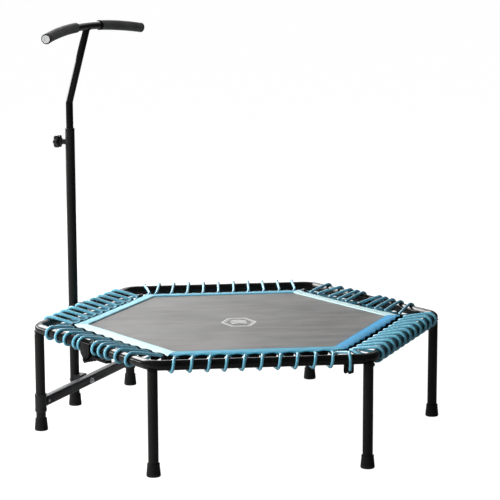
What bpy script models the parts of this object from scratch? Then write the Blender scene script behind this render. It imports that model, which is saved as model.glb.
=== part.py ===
"""Hexagonal mini trampoline with a bungee-laced mat, a fold-in-half frame and a T-bar handle.

Metres, +Z up. The origin is the centre of the hexagon on the floor. +X points at the right corner
and -Y at the front side. Angles name the corners: right 0, back_right 60, back_left 120, left 180,
front_left 240 and front_right 300 degrees.
"""

import math

import bmesh
import bpy
from mathutils import Vector

# Driving dimensions, in metres.
TUBE_R = 0.015            # frame, leg and post tubes, outside
TUBE_BORE = 0.0135
VERTEX_R = 0.627          # where the straight runs of the frame would meet
BEND_R = 0.055            # centreline radius of the frame's corners
FRAME_Z = 0.3245          # frame tube centreline
LEG_RING_R = 0.620        # leg axes from the centre
FOOT_HEIGHT = 0.038
FOOT_TOP_R = 0.0185
FOOT_BASE_R = 0.021
FOOT_FLOOR = 0.012        # rubber under the end of the tube
STUD_R = 0.0081
STUD_FLANGE = 0.003
STUD_BOTTOM_Z = 0.262
GAP = 0.0003              # between touching pieces

MAT_CORNER_R = 0.512
MAT_Z = 0.331
MAT_THICK = 0.003
BORDER_WIDTH = 0.038
BORDER_THICK = 0.0012
MAT_SPLIT = 0.001         # half the slot that parts the two mat halves

CORD_R = 0.0045
CORD_CLEAR = 0.0004
CORD_TURN_R = 0.0055      # turn of the cord in a webbing loop of the mat
CORD_TURN_GAP = 0.021     # from the mat's edge to the inmost point of the cord's axis
WRAP_LEAN = 96            # degrees from level at which the cord leaves the tube
WRAP_STEPS = 5
WRAP_PITCH = 0.0504
WRAPS_PER_SIDE = 11
POST_SIDE_WRAPS = 10      # evenly spaced too, so that the post's bolt sits between two
POST_SIDE_LOOP_SHIFT = 0.006
# Each loop of the mat sits a little to one side of the wrap it holds.
FRONT_LOOP_SHIFT = 0.015
FRONT_RIGHT_LOOP_SHIFT = 0.007
BACK_LOOP_SHIFT = 0.011
HOOKED_LOOP_SHIFT = -0.017
# On the two sides with a hinge, the wraps and then the loops, as places forward of the parting.
HINGE_SIDE_CORDS = {
    "left_rear": ((-0.0445, -0.0716, -0.1214, -0.1718, -0.2236),
                  (-0.0250, -0.0720, -0.1230, -0.1790, -0.2320)),
    "left_front": ((0.0345, 0.0670, 0.1055, 0.1580, 0.2120),
                   (0.0260, 0.0633, 0.1169, 0.1832, 0.2450)),
    "right_rear": ((-0.0455, -0.0765, -0.1120, -0.1640, -0.2270),
                   (-0.0240, -0.0645, -0.1120, -0.1720, -0.2108)),
    "right_front": ((0.0345, 0.0660, 0.1010, 0.1390, 0.1900),
                    (0.0360, 0.0800, 0.1220, 0.1690, 0.2370)),
}

PIVOT_BACK = 0.011        # the fold's pins sit this far behind the parting of the tubes
PIVOT_Z = 0.284
PIN_R = 0.004
PIN_HOLE_R = 0.0043
PIN_HEAD_R = 0.0065
CHEEK_INNER = 0.0154      # hinge cheeks, from the tube's centre plane
CHEEK_OUTER = 0.0184
CHEEK_FRONT = 0.015       # where they end, forward of the parting
CHEEK_BACK = -0.034
CHEEK_WEB_FRONT = -0.025  # they are joined under the tube behind this
CHEEK_LOW_Z = 0.301
CHEEK_EAR_R = 0.011
TONGUE_HALF = 0.010
TONGUE_FRONT = 0.028
TONGUE_EAR_R = 0.010
ARM_END = 0.094           # long arm of the tongue under the front tube
ARM_Z = (0.2895, 0.2975)

ANCHOR_HALF = 0.015
ANCHOR_BOTTOM_Z = 0.283
ANCHOR_LOBE_R = 0.006
ANCHOR_NOTCH_HALF = 0.0012
HOOK_END = ((0.0185, 0.3035), (0.0125, 0.2935), (0.0075, 0.2880))

POST_RING_R = 0.5834      # post axis from the centre
POST_TOP_Z = 0.906
BRACE_Z = 0.087
BRACE_SIZE = (0.026, 0.030)
BRACE_WALL = 0.0015
SADDLE_HALF = 0.0195
SLEEVE_R = 0.0185
SLEEVE_BORE = 0.0155
SLEEVE_Z = (0.058, 0.1164)
BOLT_R = 0.0039
BOLT_HOLE_R = 0.0044

STEM_R = 0.0115
STEM_BORE = 0.010
STEM_BOTTOM_Z = 0.600
STEM_BEND_Z = 0.993
STEM_BEND_R = 0.060
BAR_RING_R = 0.515        # middle of the T-bar from the centre
BAR_Z = 1.234
BAR_HALF = 0.3195
BAR_SWEEP = 0.031         # how far its ends come towards the user
BAR_DROOP = 0.0216
BAR_R = 0.0125
BAR_BORE = 0.011
GRIP_R = 0.0155
GRIP_BORE = 0.0133
GRIP_SPAN = (0.080, 0.3175)

KNOB_Z = 0.865
KNOB_FROM_POST = (0.0275, 0.054)
KNOB_R = 0.0195
KNOB_LOBE = 0.0022
KNOB_LOBES = 6

SIDES = 12

FRONT = -90
FRONT_RIGHT = -30
BACK_RIGHT = 30
BACK = 90
BACK_LEFT = 150
FRONT_LEFT = 210
REAR_CORNERS = {"left": 180, "back_left": 120, "back_right": 60}
FRONT_CORNERS = {"right": 0, "front_right": -60, "front_left": -120}
HINGE_SIDES = {"left": FRONT_LEFT, "right": BACK_RIGHT}

UP = Vector((0, 0, 1))


def direction(degrees):
    angle = math.radians(degrees)
    return Vector((math.cos(angle), math.sin(angle), 0))


APOTHEM = VERTEX_R * math.cos(math.radians(30))
MAT_APOTHEM = MAT_CORNER_R * math.cos(math.radians(30))
FOLD_LINE = direction(30)          # the fold's axis runs this way, across the frame
FORWARD = direction(-60)           # square to the fold, towards the front half
POST_OUT = direction(BACK_LEFT)    # out of the frame, through the post
POST_ALONG = direction(BACK_LEFT - 90)


# Materials.

COLOURS = {
    "gloss_black_steel": ((0.012, 0.012, 0.013), 0.18, 0.2),
    "satin_black_steel": ((0.022, 0.022, 0.023), 0.42, 0.2),
    "black_rubber": ((0.020, 0.020, 0.021), 0.75, 0.0),
    "black_plastic": ((0.018, 0.018, 0.020), 0.45, 0.0),
    "zinc_steel": ((0.78, 0.78, 0.80), 0.25, 1.0),
    "grey_plastic": ((0.62, 0.63, 0.62), 0.50, 0.0),
    "foam": ((0.035, 0.035, 0.037), 0.90, 0.0),
    "mat_weave": ((0.150, 0.150, 0.155), 0.60, 0.0),
    "blue_fabric": ((0.10, 0.52, 0.86), 0.70, 0.0),
    "blue_cord": ((0.16, 0.42, 0.56), 0.60, 0.0),
}


def material(kind):
    existing = bpy.data.materials.get(kind)
    if existing:
        return existing
    colour, roughness, metallic = COLOURS[kind]
    made = bpy.data.materials.new(kind)
    made.use_nodes = True
    shader = made.node_tree.nodes["Principled BSDF"]
    shader.inputs["Base Color"].default_value = (*colour, 1)
    shader.inputs["Roughness"].default_value = roughness
    shader.inputs["Metallic"].default_value = metallic
    made.diffuse_color = (*colour, 1)
    return made


# Mesh tools. Each one makes one closed body in world coordinates.

def add_object(name, kind, points, faces, parent=None):
    mesh = bpy.data.meshes.new(name)
    mesh.from_pydata([tuple(p) for p in points], [], faces)
    work = bmesh.new()
    work.from_mesh(mesh)
    bmesh.ops.recalc_face_normals(work, faces=work.faces)
    if work.calc_volume(signed=True) < 0:
        bmesh.ops.reverse_faces(work, faces=work.faces)
    work.to_mesh(mesh)
    work.free()
    mesh.materials.append(material(kind))
    mesh.shade_smooth()
    mesh.set_sharp_from_angle(angle=math.radians(40))
    made = bpy.data.objects.new(name, mesh)
    bpy.context.scene.collection.objects.link(made)
    if parent:
        made.parent = parent
        made.matrix_parent_inverse = parent.matrix_world.inverted()
    return made


def add_empty(name, place):
    made = bpy.data.objects.new(name, None)
    made.location = place
    made.empty_display_size = 0.05
    bpy.context.scene.collection.objects.link(made)
    bpy.context.view_layer.update()
    return made


def ring_faces(first, second, count):
    """Quads between two rings of points that start at these indices."""
    return [(first + i, first + (i + 1) % count, second + (i + 1) % count, second + i)
            for i in range(count)]


def path_frames(path):
    """A side vector and a second one for each point of the path, carried along without twist."""
    tangents = []
    for i, point in enumerate(path):
        before = (point - path[i - 1]).normalized() if i > 0 else Vector()
        after = (path[i + 1] - point).normalized() if i < len(path) - 1 else Vector()
        tangents.append((before + after).normalized())
    side = tangents[0].cross(UP)
    if side.length < 0.1:
        side = tangents[0].cross(POST_ALONG)
    side.normalize()
    frames = []
    for tangent in tangents:
        side = (side - tangent * side.dot(tangent)).normalized()
        frames.append((side, tangent.cross(side)))
    return frames


def add_tube(name, kind, path, radius, bore=None, parent=None, sides=SIDES):
    """A round tube or rod along the path, open at both ends if it has a bore."""
    frames = path_frames(path)
    points = []
    for r in (radius, bore) if bore else (radius,):
        for centre, (side, other) in zip(path, frames):
            for i in range(sides):
                angle = math.tau * i / sides
                points.append(centre + r * (math.cos(angle) * side + math.sin(angle) * other))
    rings = len(path)
    faces = []
    for k in range(rings - 1):
        faces += ring_faces(k * sides, (k + 1) * sides, sides)
    if bore:
        start = rings * sides
        for k in range(rings - 1):
            faces += [f[::-1] for f in ring_faces(start + k * sides, start + (k + 1) * sides, sides)]
        faces += ring_faces(start, 0, sides)
        last = (rings - 1) * sides
        faces += ring_faces(last, start + last, sides)
    else:
        faces.append(tuple(range(sides))[::-1])
        faces.append(tuple(range((rings - 1) * sides, rings * sides)))
    return add_object(name, kind, points, faces, parent)


def add_turned(name, kind, base, axis, profile, closed, parent=None, sides=SIDES):
    """Turns (radius, distance) points round the axis. A closed profile makes a ring with a hole;
    an open one is capped flat at its first and last points."""
    axis = axis.normalized()
    side = axis.cross(UP)
    if side.length < 0.1:
        side = axis.cross(POST_ALONG)
    side.normalize()
    other = axis.cross(side)
    points = []
    for radius, along in profile:
        for i in range(sides):
            angle = math.tau * i / sides
            spoke = math.cos(angle) * side + math.sin(angle) * other
            points.append(base + axis * along + spoke * radius)
    count = len(profile)
    faces = []
    for k in range(count if closed else count - 1):
        faces += ring_faces(k * sides, (k + 1) % count * sides, sides)
    if not closed:
        faces.append(tuple(range(sides))[::-1])
        faces.append(tuple(range((count - 1) * sides, count * sides)))
    return add_object(name, kind, points, faces, parent)


def add_prism(name, kind, outline, place, half, parent=None):
    """Extrudes an outline both ways. place(a, b, c) puts outline point (a, b) at thickness c."""
    count = len(outline)
    points = [place(a, b, c) for c in (-half, half) for a, b in outline]
    faces = ring_faces(0, count, count)
    faces.append(tuple(range(count))[::-1])
    faces.append(tuple(range(count, 2 * count)))
    return add_object(name, kind, points, faces, parent)


def arc(centre, radius, start, end, steps):
    """Points of an arc in the plane, both ends included, in degrees."""
    angles = [math.radians(start + (end - start) * i / steps) for i in range(steps + 1)]
    return [(centre[0] + radius * math.cos(a), centre[1] + radius * math.sin(a)) for a in angles]


def cut(target, cutter):
    """Takes the cutter's shape out of the target with a Boolean modifier."""
    cutter.hide_render = True
    cutter.display_type = "WIRE"
    modifier = target.modifiers.new("cut_" + cutter.name, "BOOLEAN")
    modifier.operation = "DIFFERENCE"
    modifier.solver = "EXACT"
    modifier.object = cutter
    cutter.hide_set(True)


def drill(target, start, end, radius, label):
    """A straight round hole from start to end."""
    cutter = add_tube("drill_" + label, "black_plastic", [start, end], radius)
    cut(target, cutter)


# The frame.

def corner_arc(degrees):
    """The frame's centreline round one corner, in order of rising angle."""
    middle = direction(degrees) * (APOTHEM - BEND_R) / math.cos(math.radians(30))
    steps = 6
    turns = [degrees - 30 + 60 * i / steps for i in range(steps + 1)]
    return [middle + direction(t) * BEND_R + UP * FRAME_Z for t in turns]


def frame_half(name, corners, sign, parent):
    """Half of the hexagon's tube, from one fold hinge to the other. sign is -1 for the rear."""
    split = FORWARD * (sign * GAP) + UP * FRAME_Z
    ends = [direction(FRONT_LEFT) * APOTHEM + split, direction(BACK_RIGHT) * APOTHEM + split]
    start, finish = ends if sign > 0 else ends[::-1]
    path = [start]
    for degrees in corners:
        path += corner_arc(degrees)
    path.append(finish)
    return add_tube(name, "gloss_black_steel", path, TUBE_R, TUBE_BORE, parent)


def add_leg(corner, degrees, parent):
    """A leg: threaded stud under the frame, tube with a thick threaded top, and rubber foot."""
    base = direction(degrees) * LEG_RING_R
    flange_top = FRAME_Z - TUBE_R - GAP
    tube_top = flange_top - STUD_FLANGE - GAP
    thread_bottom = tube_top - 0.025
    thread_bore = STUD_R + 0.0005
    add_turned("leg_stud_" + corner, "satin_black_steel", base, UP, [
        (0.0145, flange_top), (0.0145, flange_top - STUD_FLANGE),
        (STUD_R, flange_top - STUD_FLANGE), (STUD_R, STUD_BOTTOM_Z + 0.002),
        (STUD_R - 0.002, STUD_BOTTOM_Z)], False, parent)
    add_turned("leg_tube_" + corner, "satin_black_steel", base, UP, [
        (TUBE_R, FOOT_FLOOR + GAP), (TUBE_R, tube_top), (thread_bore, tube_top),
        (thread_bore, thread_bottom), (TUBE_BORE, thread_bottom - 0.004),
        (TUBE_BORE, FOOT_FLOOR + GAP)], True, parent)
    add_foot("leg_foot_" + corner, base, parent)


def add_foot(name, base, parent):
    """A rubber cup over the end of a tube, wider at the floor."""
    pocket = TUBE_R + 0.0004
    add_turned(name, "black_rubber", base, UP, [
        (pocket, FOOT_FLOOR), (pocket, FOOT_HEIGHT), (FOOT_TOP_R - 0.001, FOOT_HEIGHT),
        (FOOT_TOP_R, FOOT_HEIGHT - 0.0015), (FOOT_TOP_R + 0.0005, FOOT_HEIGHT - 0.012),
        (FOOT_BASE_R, 0.002), (FOOT_BASE_R - 0.0012, 0.0)], False, parent)


# The fold hinges.

def hinge_place(degrees):
    """Puts (forward from the parting, height, outward from the tube's centre plane) in the world."""
    out = direction(degrees)

    def place(forward, height, outward):
        return out * (APOTHEM + outward) + FORWARD * forward + UP * height

    return place


def add_hinge(side, degrees, front):
    """Rear cheeks that straddle the tube ends, the front half's tongue between them, and the pin."""
    place = hinge_place(degrees)
    pivot = (-PIVOT_BACK, PIVOT_Z)
    under_tube = FRAME_Z - TUBE_R - GAP
    cheek_top = FRAME_Z + 0.010
    outline = [(CHEEK_BACK, cheek_top), (CHEEK_FRONT, cheek_top), (CHEEK_FRONT, CHEEK_LOW_Z)]
    outline += arc(pivot, CHEEK_EAR_R, 20, -200, 8)
    outline += [(CHEEK_BACK, CHEEK_LOW_Z)]
    cheeks = add_prism("hinge_cheeks_" + side, "satin_black_steel", outline, place, CHEEK_OUTER)
    slot = [(CHEEK_WEB_FRONT, 0.25), (0.03, 0.25), (0.03, 0.35), (-0.06, 0.35),
            (-0.06, under_tube), (CHEEK_WEB_FRONT, under_tube)]
    cut(cheeks, add_prism("slot_" + side, "black_plastic", slot, place, CHEEK_INNER))
    drill(cheeks, place(*pivot, -0.03), place(*pivot, 0.03), PIN_HOLE_R, "cheeks_" + side)

    arm_bottom, arm_top = ARM_Z
    outline = [(0.0022, under_tube), (TONGUE_FRONT, under_tube), (TONGUE_FRONT, arm_top),
               (ARM_END, arm_top), (ARM_END, arm_bottom), (0.004, arm_bottom)]
    outline += arc(pivot, TONGUE_EAR_R, -50, -230, 6)
    tongue = add_prism("hinge_tongue_" + side, "satin_black_steel", outline, place, TONGUE_HALF, front)
    drill(tongue, place(*pivot, -0.03), place(*pivot, 0.03), PIN_HOLE_R, "tongue_" + side)

    inner = CHEEK_OUTER + GAP
    half = [(PIN_R, inner), (PIN_HEAD_R, inner), (PIN_HEAD_R, inner + 0.0035),
            (PIN_HEAD_R - 0.0015, inner + 0.0045)]
    profile = [(r, -along) for r, along in half[::-1]] + half
    add_turned("hinge_pin_" + side, "zinc_steel", place(*pivot, 0), direction(degrees), profile, False)


# The mat.

def half_outline(apothem, sign):
    """Corners of half a hexagon, from the left end of the fold line round to the right end."""
    corner_r = apothem / math.cos(math.radians(30))
    angles = (240, 300, 360) if sign > 0 else (180, 120, 60)
    slot = FORWARD * (sign * MAT_SPLIT)
    ends = [-FOLD_LINE * apothem + slot, FOLD_LINE * apothem + slot]
    return [ends[0]] + [direction(a) * corner_r for a in angles] + [ends[1]]


def add_mat_half(name, sign, parent):
    outline = [(p.x, p.y) for p in half_outline(MAT_APOTHEM, sign)]
    add_prism("mat_" + name, "mat_weave", outline,
              lambda x, y, c: Vector((x, y, MAT_Z + c)), MAT_THICK / 2, parent)
    outer = half_outline(MAT_APOTHEM, sign)
    inner = half_outline(MAT_APOTHEM - BORDER_WIDTH, sign)
    band = [(p.x, p.y) for p in outer + inner[::-1]]
    count = len(outer)
    bottom = MAT_Z + MAT_THICK / 2 + GAP
    points = [Vector((x, y, bottom + h)) for h in (0, BORDER_THICK) for x, y in band]
    top = 2 * count
    faces = ring_faces(0, top, top)
    for i in range(count - 1):
        quad = (i, i + 1, 2 * count - 2 - i, 2 * count - 1 - i)
        faces += [quad[::-1], tuple(top + q for q in quad)]
    add_object("mat_border_" + name, "blue_fabric", points, faces, parent)


# The elastic cords.

def cord_path(degrees, along, wraps, loops, hooked=False):
    """Zigzag of one side: from each loop of the mat over the tube, round it at the wrap's place,
    and back below to the next loop. hooked ends the last wrap in front of the cord anchor."""
    out = direction(degrees)
    turn_centre = MAT_APOTHEM + CORD_TURN_GAP + CORD_TURN_R
    wrap_r = (TUBE_R + CORD_R + CORD_CLEAR) / math.cos(math.radians(WRAP_LEAN / WRAP_STEPS))

    def place(offset, outward, height):
        return out * outward + along * offset + UP * height

    def in_loop(offset, angle, lower=0.0):
        a = math.radians(angle)
        return place(offset, turn_centre + CORD_TURN_R * math.cos(a),
                     MAT_Z - lower + CORD_TURN_R * math.sin(a))

    path = []
    for i, (wrap, loop) in enumerate(zip(wraps, loops)):
        last = i == len(wraps) - 1
        path += [in_loop(loop, angle) for angle in ((150, 105) if i == 0 else (255, 180, 105))]
        for k in range(WRAP_STEPS + 1):
            turned = WRAP_LEAN - 2 * WRAP_LEAN * k / WRAP_STEPS
            if last and hooked and turned < -20:
                break
            a = math.radians(turned)
            path.append(place(wrap, APOTHEM + wrap_r * math.cos(a), FRAME_Z + wrap_r * math.sin(a)))
        if last and hooked:
            path += [place(wrap, APOTHEM + outward, height) for outward, height in HOOK_END]
        elif last:
            path += [in_loop(loop, angle, 0.001) for angle in (262, 228)]
    return path


def add_cord(name, degrees, along, wraps, loops, parent, hooked=False):
    path = cord_path(degrees, along, wraps, loops, hooked)
    add_tube("cord_" + name, "blue_cord", path, CORD_R, None, parent, sides=5)


def evenly_spaced(count):
    return [(i - (count - 1) / 2) * WRAP_PITCH for i in range(count)]


def shifted(wraps, shift):
    return [wrap + shift for wrap in wraps]


def add_cords(front):
    full = evenly_spaced(WRAPS_PER_SIDE)
    beside_post = evenly_spaced(POST_SIDE_WRAPS)
    front_loops = shifted(full, FRONT_LOOP_SHIFT)[:-1] + [full[-1] + HOOKED_LOOP_SHIFT]
    for name, degrees, wraps, loops, parent in (
            ("back_left", BACK_LEFT, beside_post, shifted(beside_post, POST_SIDE_LOOP_SHIFT), None),
            ("back", BACK, full, shifted(full, BACK_LOOP_SHIFT), None),
            ("front", FRONT, full, front_loops, front),
            ("front_right", FRONT_RIGHT, full, shifted(full, FRONT_RIGHT_LOOP_SHIFT), front)):
        add_cord(name, degrees, direction(degrees + 90), wraps, loops, parent, name == "front")
    for side, degrees in HINGE_SIDES.items():
        for half, parent in (("_rear", None), ("_front", front)):
            wraps, loops = HINGE_SIDE_CORDS[side + half]
            add_cord(side + half, degrees, FORWARD, wraps, loops, parent)


def add_cord_anchor(front):
    """Two-lobed steel plate under the front tube, where the end of the front cord hooks on."""
    offset = evenly_spaced(WRAPS_PER_SIDE)[-1]
    top = FRAME_Z - TUBE_R - GAP
    lobe_z = ANCHOR_BOTTOM_Z + ANCHOR_LOBE_R
    lobe_centre = ANCHOR_HALF - ANCHOR_LOBE_R
    notch_top = ANCHOR_BOTTOM_Z + 0.008
    outline = [(-ANCHOR_HALF, top)]
    outline += arc((-lobe_centre, lobe_z), ANCHOR_LOBE_R, 180, 360, 5)
    outline += [(-ANCHOR_NOTCH_HALF, notch_top), (ANCHOR_NOTCH_HALF, notch_top)]
    outline += arc((lobe_centre, lobe_z), ANCHOR_LOBE_R, 180, 360, 5)
    outline += [(ANCHOR_HALF, top)]
    out = direction(FRONT)
    along = direction(FRONT + 90)
    add_prism("cord_anchor", "satin_black_steel", outline,
              lambda a, b, c: out * (APOTHEM + c) + along * (offset + a) + UP * b, 0.002, front)


# The post, its saddles and the brace.

def post_point(outward, along, height):
    """A place measured outward and sideways from the post's axis."""
    return POST_OUT * (POST_RING_R + outward) + POST_ALONG * along + UP * height


def add_saddle(name, inner_face, height, half_height, label):
    """Spacer block between the post and the tube it is bolted to, hollowed to seat the post."""
    seat = TUBE_R + 0.0005
    half_width = SADDLE_HALF
    outer = -0.006
    start = math.degrees(math.asin(outer / seat))
    outline = [(-half_width, inner_face), (half_width, inner_face), (half_width, outer)]
    outline += arc((0, 0), seat, start, -180 - start, 8)
    outline += [(-half_width, outer)]
    saddle = add_prism(name, "black_plastic", outline,
                       lambda a, b, c: post_point(b, a, height + c), half_height)
    drill(saddle, post_point(-0.06, 0, height), post_point(0, 0, height), BOLT_HOLE_R, label)


def add_bolt(name, inner_face, height):
    """Long bolt from the post's outer side through to a nut on the inner side."""
    head_face = TUBE_R + GAP
    nut_face = inner_face - GAP
    profile = [(0.0052, nut_face - 0.0085), (0.0072, nut_face - 0.0070), (0.0072, nut_face),
               (BOLT_R, nut_face), (BOLT_R, head_face), (0.0075, head_face),
               (0.0068, head_face + 0.0030), (0.0040, head_face + 0.0048)]
    add_turned(name, "zinc_steel", post_point(0, 0, height), POST_OUT, profile, False)


def rounded_rectangle(width, height, radius):
    points = []
    for cx, cy, start in ((1, 1, 0), (-1, 1, 90), (-1, -1, 180), (1, -1, 270)):
        centre = (cx * (width / 2 - radius), cy * (height / 2 - radius))
        points += arc(centre, radius, start, start + 90, 3)
    return points


def add_brace():
    """Rounded box tube between the sleeves on the left and back left legs."""
    ring_r = LEG_RING_R * math.cos(math.radians(30))
    half = LEG_RING_R / 2 - SLEEVE_R - GAP
    outer = rounded_rectangle(*BRACE_SIZE, 0.006)
    inner = rounded_rectangle(BRACE_SIZE[0] - 2 * BRACE_WALL, BRACE_SIZE[1] - 2 * BRACE_WALL, 0.0045)
    count = len(outer)
    points = []
    for loop in (outer, inner):
        for end in (-half, half):
            points += [POST_OUT * (ring_r + a) + POST_ALONG * end + UP * (BRACE_Z + b) for a, b in loop]
    faces = ring_faces(0, count, count) + ring_faces(3 * count, 2 * count, count)
    faces += ring_faces(2 * count, 0, count) + ring_faces(count, 3 * count, count)
    brace = add_object("brace_tube", "satin_black_steel", points, faces)
    drill(brace, post_point(-0.08, 0, BRACE_Z), post_point(-0.02, 0, BRACE_Z), BOLT_HOLE_R, "brace")
    for corner in ("left", "back_left"):
        base = direction(REAR_CORNERS[corner]) * LEG_RING_R
        low, high = SLEEVE_Z
        add_turned("brace_sleeve_" + corner, "black_plastic", base, UP, [
            (SLEEVE_R - 0.0015, low), (SLEEVE_R, low + 0.004), (SLEEVE_R, high - 0.001),
            (SLEEVE_R - 0.001, high), (SLEEVE_BORE, high), (SLEEVE_BORE, low)], True)
    return ring_r - BRACE_SIZE[0] / 2 - POST_RING_R, ring_r + BRACE_SIZE[0] / 2 - POST_RING_R


def add_post(rear_tube):
    base = POST_OUT * POST_RING_R
    post = add_turned("handle_post", "satin_black_steel", base, UP, [
        (TUBE_R, FOOT_FLOOR + GAP), (TUBE_R, POST_TOP_Z), (TUBE_BORE, POST_TOP_Z),
        (TUBE_BORE, FOOT_FLOOR + GAP)], True)
    add_foot("post_foot", base, None)
    for height, label in ((FRAME_Z, "post_frame"), (BRACE_Z, "post_brace")):
        drill(post, post_point(-0.03, 0, height), post_point(0.03, 0, height), BOLT_HOLE_R, label)
    drill(post, post_point(0.005, 0, KNOB_Z), post_point(0.03, 0, KNOB_Z), 0.0046, "post_knob")

    flange = POST_TOP_Z + GAP
    add_turned("post_bushing", "black_plastic", base, UP, [
        (STEM_R + 0.00045, flange - 0.021), (STEM_R + 0.00045, flange + 0.003),
        (TUBE_R - 0.001, flange + 0.003), (TUBE_R, flange + 0.002), (TUBE_R, flange),
        (0.0129, flange), (0.0129, flange - 0.021)], True)
    add_turned("knob_boss", "satin_black_steel", post_point(0, 0, KNOB_Z), POST_OUT, [
        (0.0046, TUBE_R + GAP), (0.009, TUBE_R + GAP), (0.009, 0.0262), (0.0046, 0.0262)], True)

    tube_inner = APOTHEM - TUBE_R - POST_RING_R
    tube_outer = APOTHEM + TUBE_R - POST_RING_R
    add_saddle("frame_saddle", tube_outer + GAP, FRAME_Z, 0.016, "frame_saddle")
    add_bolt("frame_bolt", tube_inner, FRAME_Z)
    drill(rear_tube, post_point(-0.08, 0, FRAME_Z), post_point(-0.02, 0, FRAME_Z), BOLT_HOLE_R, "frame")
    brace_inner, brace_outer = add_brace()
    add_saddle("brace_saddle", brace_outer + GAP, BRACE_Z, 0.018, "brace_saddle")
    add_bolt("brace_bolt", brace_inner, BRACE_Z)


# The handle.

def bar_point(along):
    """A point of the T-bar's arched centreline, this far along it from the middle."""
    share = (along / 0.321) ** 2
    return (POST_OUT * (BAR_RING_R - BAR_SWEEP * share) + POST_ALONG * along
            + UP * (BAR_Z - BAR_DROOP * share))


def bar_path(start, end, steps):
    return [bar_point(start + (end - start) * i / steps) for i in range(steps + 1)]


def stem_path():
    """Straight inside the post, then a bend towards the user and up to the T-bar."""
    foot = POST_OUT * POST_RING_R + UP * STEM_BOTTOM_Z
    corner = POST_OUT * POST_RING_R + UP * STEM_BEND_Z
    middle = bar_point(0)
    lean = (middle - corner).normalized()
    half_angle = math.acos(lean.dot(UP)) / 2
    reach = STEM_BEND_R * math.tan(half_angle)
    inward = -POST_OUT
    centre = corner - UP * reach + inward * STEM_BEND_R
    steps = 4
    path = [foot]
    for i in range(steps + 1):
        angle = 2 * half_angle * i / steps
        path.append(centre - inward * STEM_BEND_R * math.cos(angle)
                    + UP * STEM_BEND_R * math.sin(angle))
    path.append(middle - lean * (BAR_R + 0.0038))
    return path, lean


def add_handle(handle):
    path, lean = stem_path()
    add_tube("handle_stem", "gloss_black_steel", path, STEM_R, STEM_BORE, handle)
    add_tube("handle_bar", "gloss_black_steel", bar_path(-BAR_HALF, BAR_HALF, 14), BAR_R, BAR_BORE,
             handle)

    across = POST_ALONG.cross(lean)
    middle = bar_point(0)
    section = arc((0, 0), BAR_R + 0.0034, -150, -30, 6) + arc((0, 0), BAR_R + 0.0006, -30, -150, 6)
    add_prism("bar_saddle", "gloss_black_steel", section,
              lambda a, b, c: middle + across * a + lean * b + POST_ALONG * c, 0.022, handle)

    for side, sign in (("left", -1), ("right", 1)):
        start, end = (sign * s for s in GRIP_SPAN)
        add_tube("grip_" + side, "foam", bar_path(start, end, 7), GRIP_R, GRIP_BORE, handle)
        tip = bar_point(sign * BAR_HALF)
        outward = (tip - bar_point(sign * (BAR_HALF - 0.01))).normalized()
        add_turned("end_plug_" + side, "grey_plastic", tip, outward, [
            (0.0103, -0.015), (0.0103, GAP), (0.0122, GAP), (0.0122, 0.0015), (0.0105, 0.0025)],
            False, handle)


def add_knob(knob):
    """Six-lobed knob on a screw that clamps the stem."""
    near, far = KNOB_FROM_POST
    place = post_point(0, 0, KNOB_Z)
    around = 24
    levels = ((near, 0.010, 0), (near + 0.006, 0.011, 0), (near + 0.009, KNOB_R - 0.002, 0.8),
              (near + 0.011, KNOB_R, 1), (far - 0.004, KNOB_R, 1), (far - 0.001, KNOB_R - 0.002, 0.9),
              (far, KNOB_R - 0.006, 0.5))
    points = []
    for outward, radius, lobed in levels:
        for i in range(around):
            angle = math.tau * i / around
            r = radius + KNOB_LOBE * lobed * math.cos(KNOB_LOBES * angle)
            points.append(place + POST_OUT * outward
                          + r * (math.cos(angle) * POST_ALONG + math.sin(angle) * UP))
    faces = []
    for k in range(len(levels) - 1):
        faces += ring_faces(k * around, (k + 1) * around, around)
    faces.append(tuple(range(around))[::-1])
    faces.append(tuple(range((len(levels) - 1) * around, len(levels) * around)))
    add_object("knob_head", "black_plastic", points, faces, knob)
    add_turned("knob_screw", "zinc_steel", place, POST_OUT, [
        (0.003, STEM_R + 0.0004), (0.0041, STEM_R + 0.0015), (0.0041, near - GAP)], False, knob)


def main():
    for old in list(bpy.data.objects):
        bpy.data.objects.remove(old, do_unlink=True)

    front = add_empty("fold_axis", -FORWARD * PIVOT_BACK + UP * PIVOT_Z)
    handle = add_empty("handle_slide", POST_OUT * POST_RING_R + UP * POST_TOP_Z)
    knob = add_empty("knob_axis", post_point(KNOB_FROM_POST[0], 0, KNOB_Z))

    rear_tube = frame_half("rear_frame_tube", (60, 120, 180), -1, None)
    frame_half("front_frame_tube", (240, 300, 360), 1, front)
    for corner, degrees in REAR_CORNERS.items():
        add_leg(corner, degrees, None)
    for corner, degrees in FRONT_CORNERS.items():
        add_leg(corner, degrees, front)
    for side, degrees in HINGE_SIDES.items():
        add_hinge(side, degrees, front)
    add_mat_half("rear", -1, None)
    add_mat_half("front", 1, front)
    add_cords(front)
    add_cord_anchor(front)
    add_post(rear_tube)
    add_handle(handle)
    add_knob(knob)


main()
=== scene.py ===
"""Looks of the hexagonal mini trampoline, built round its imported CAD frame.

Metres, +Z up, in the frame of the CAD model. A place on a side of the hexagon is given as
(outward from the centre, sideways from the middle of that side, height), with sideways
positive anticlockwise as seen from above.
"""

import math
import random

import bmesh
import bpy
from mathutils import Matrix, Vector, noise


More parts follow.
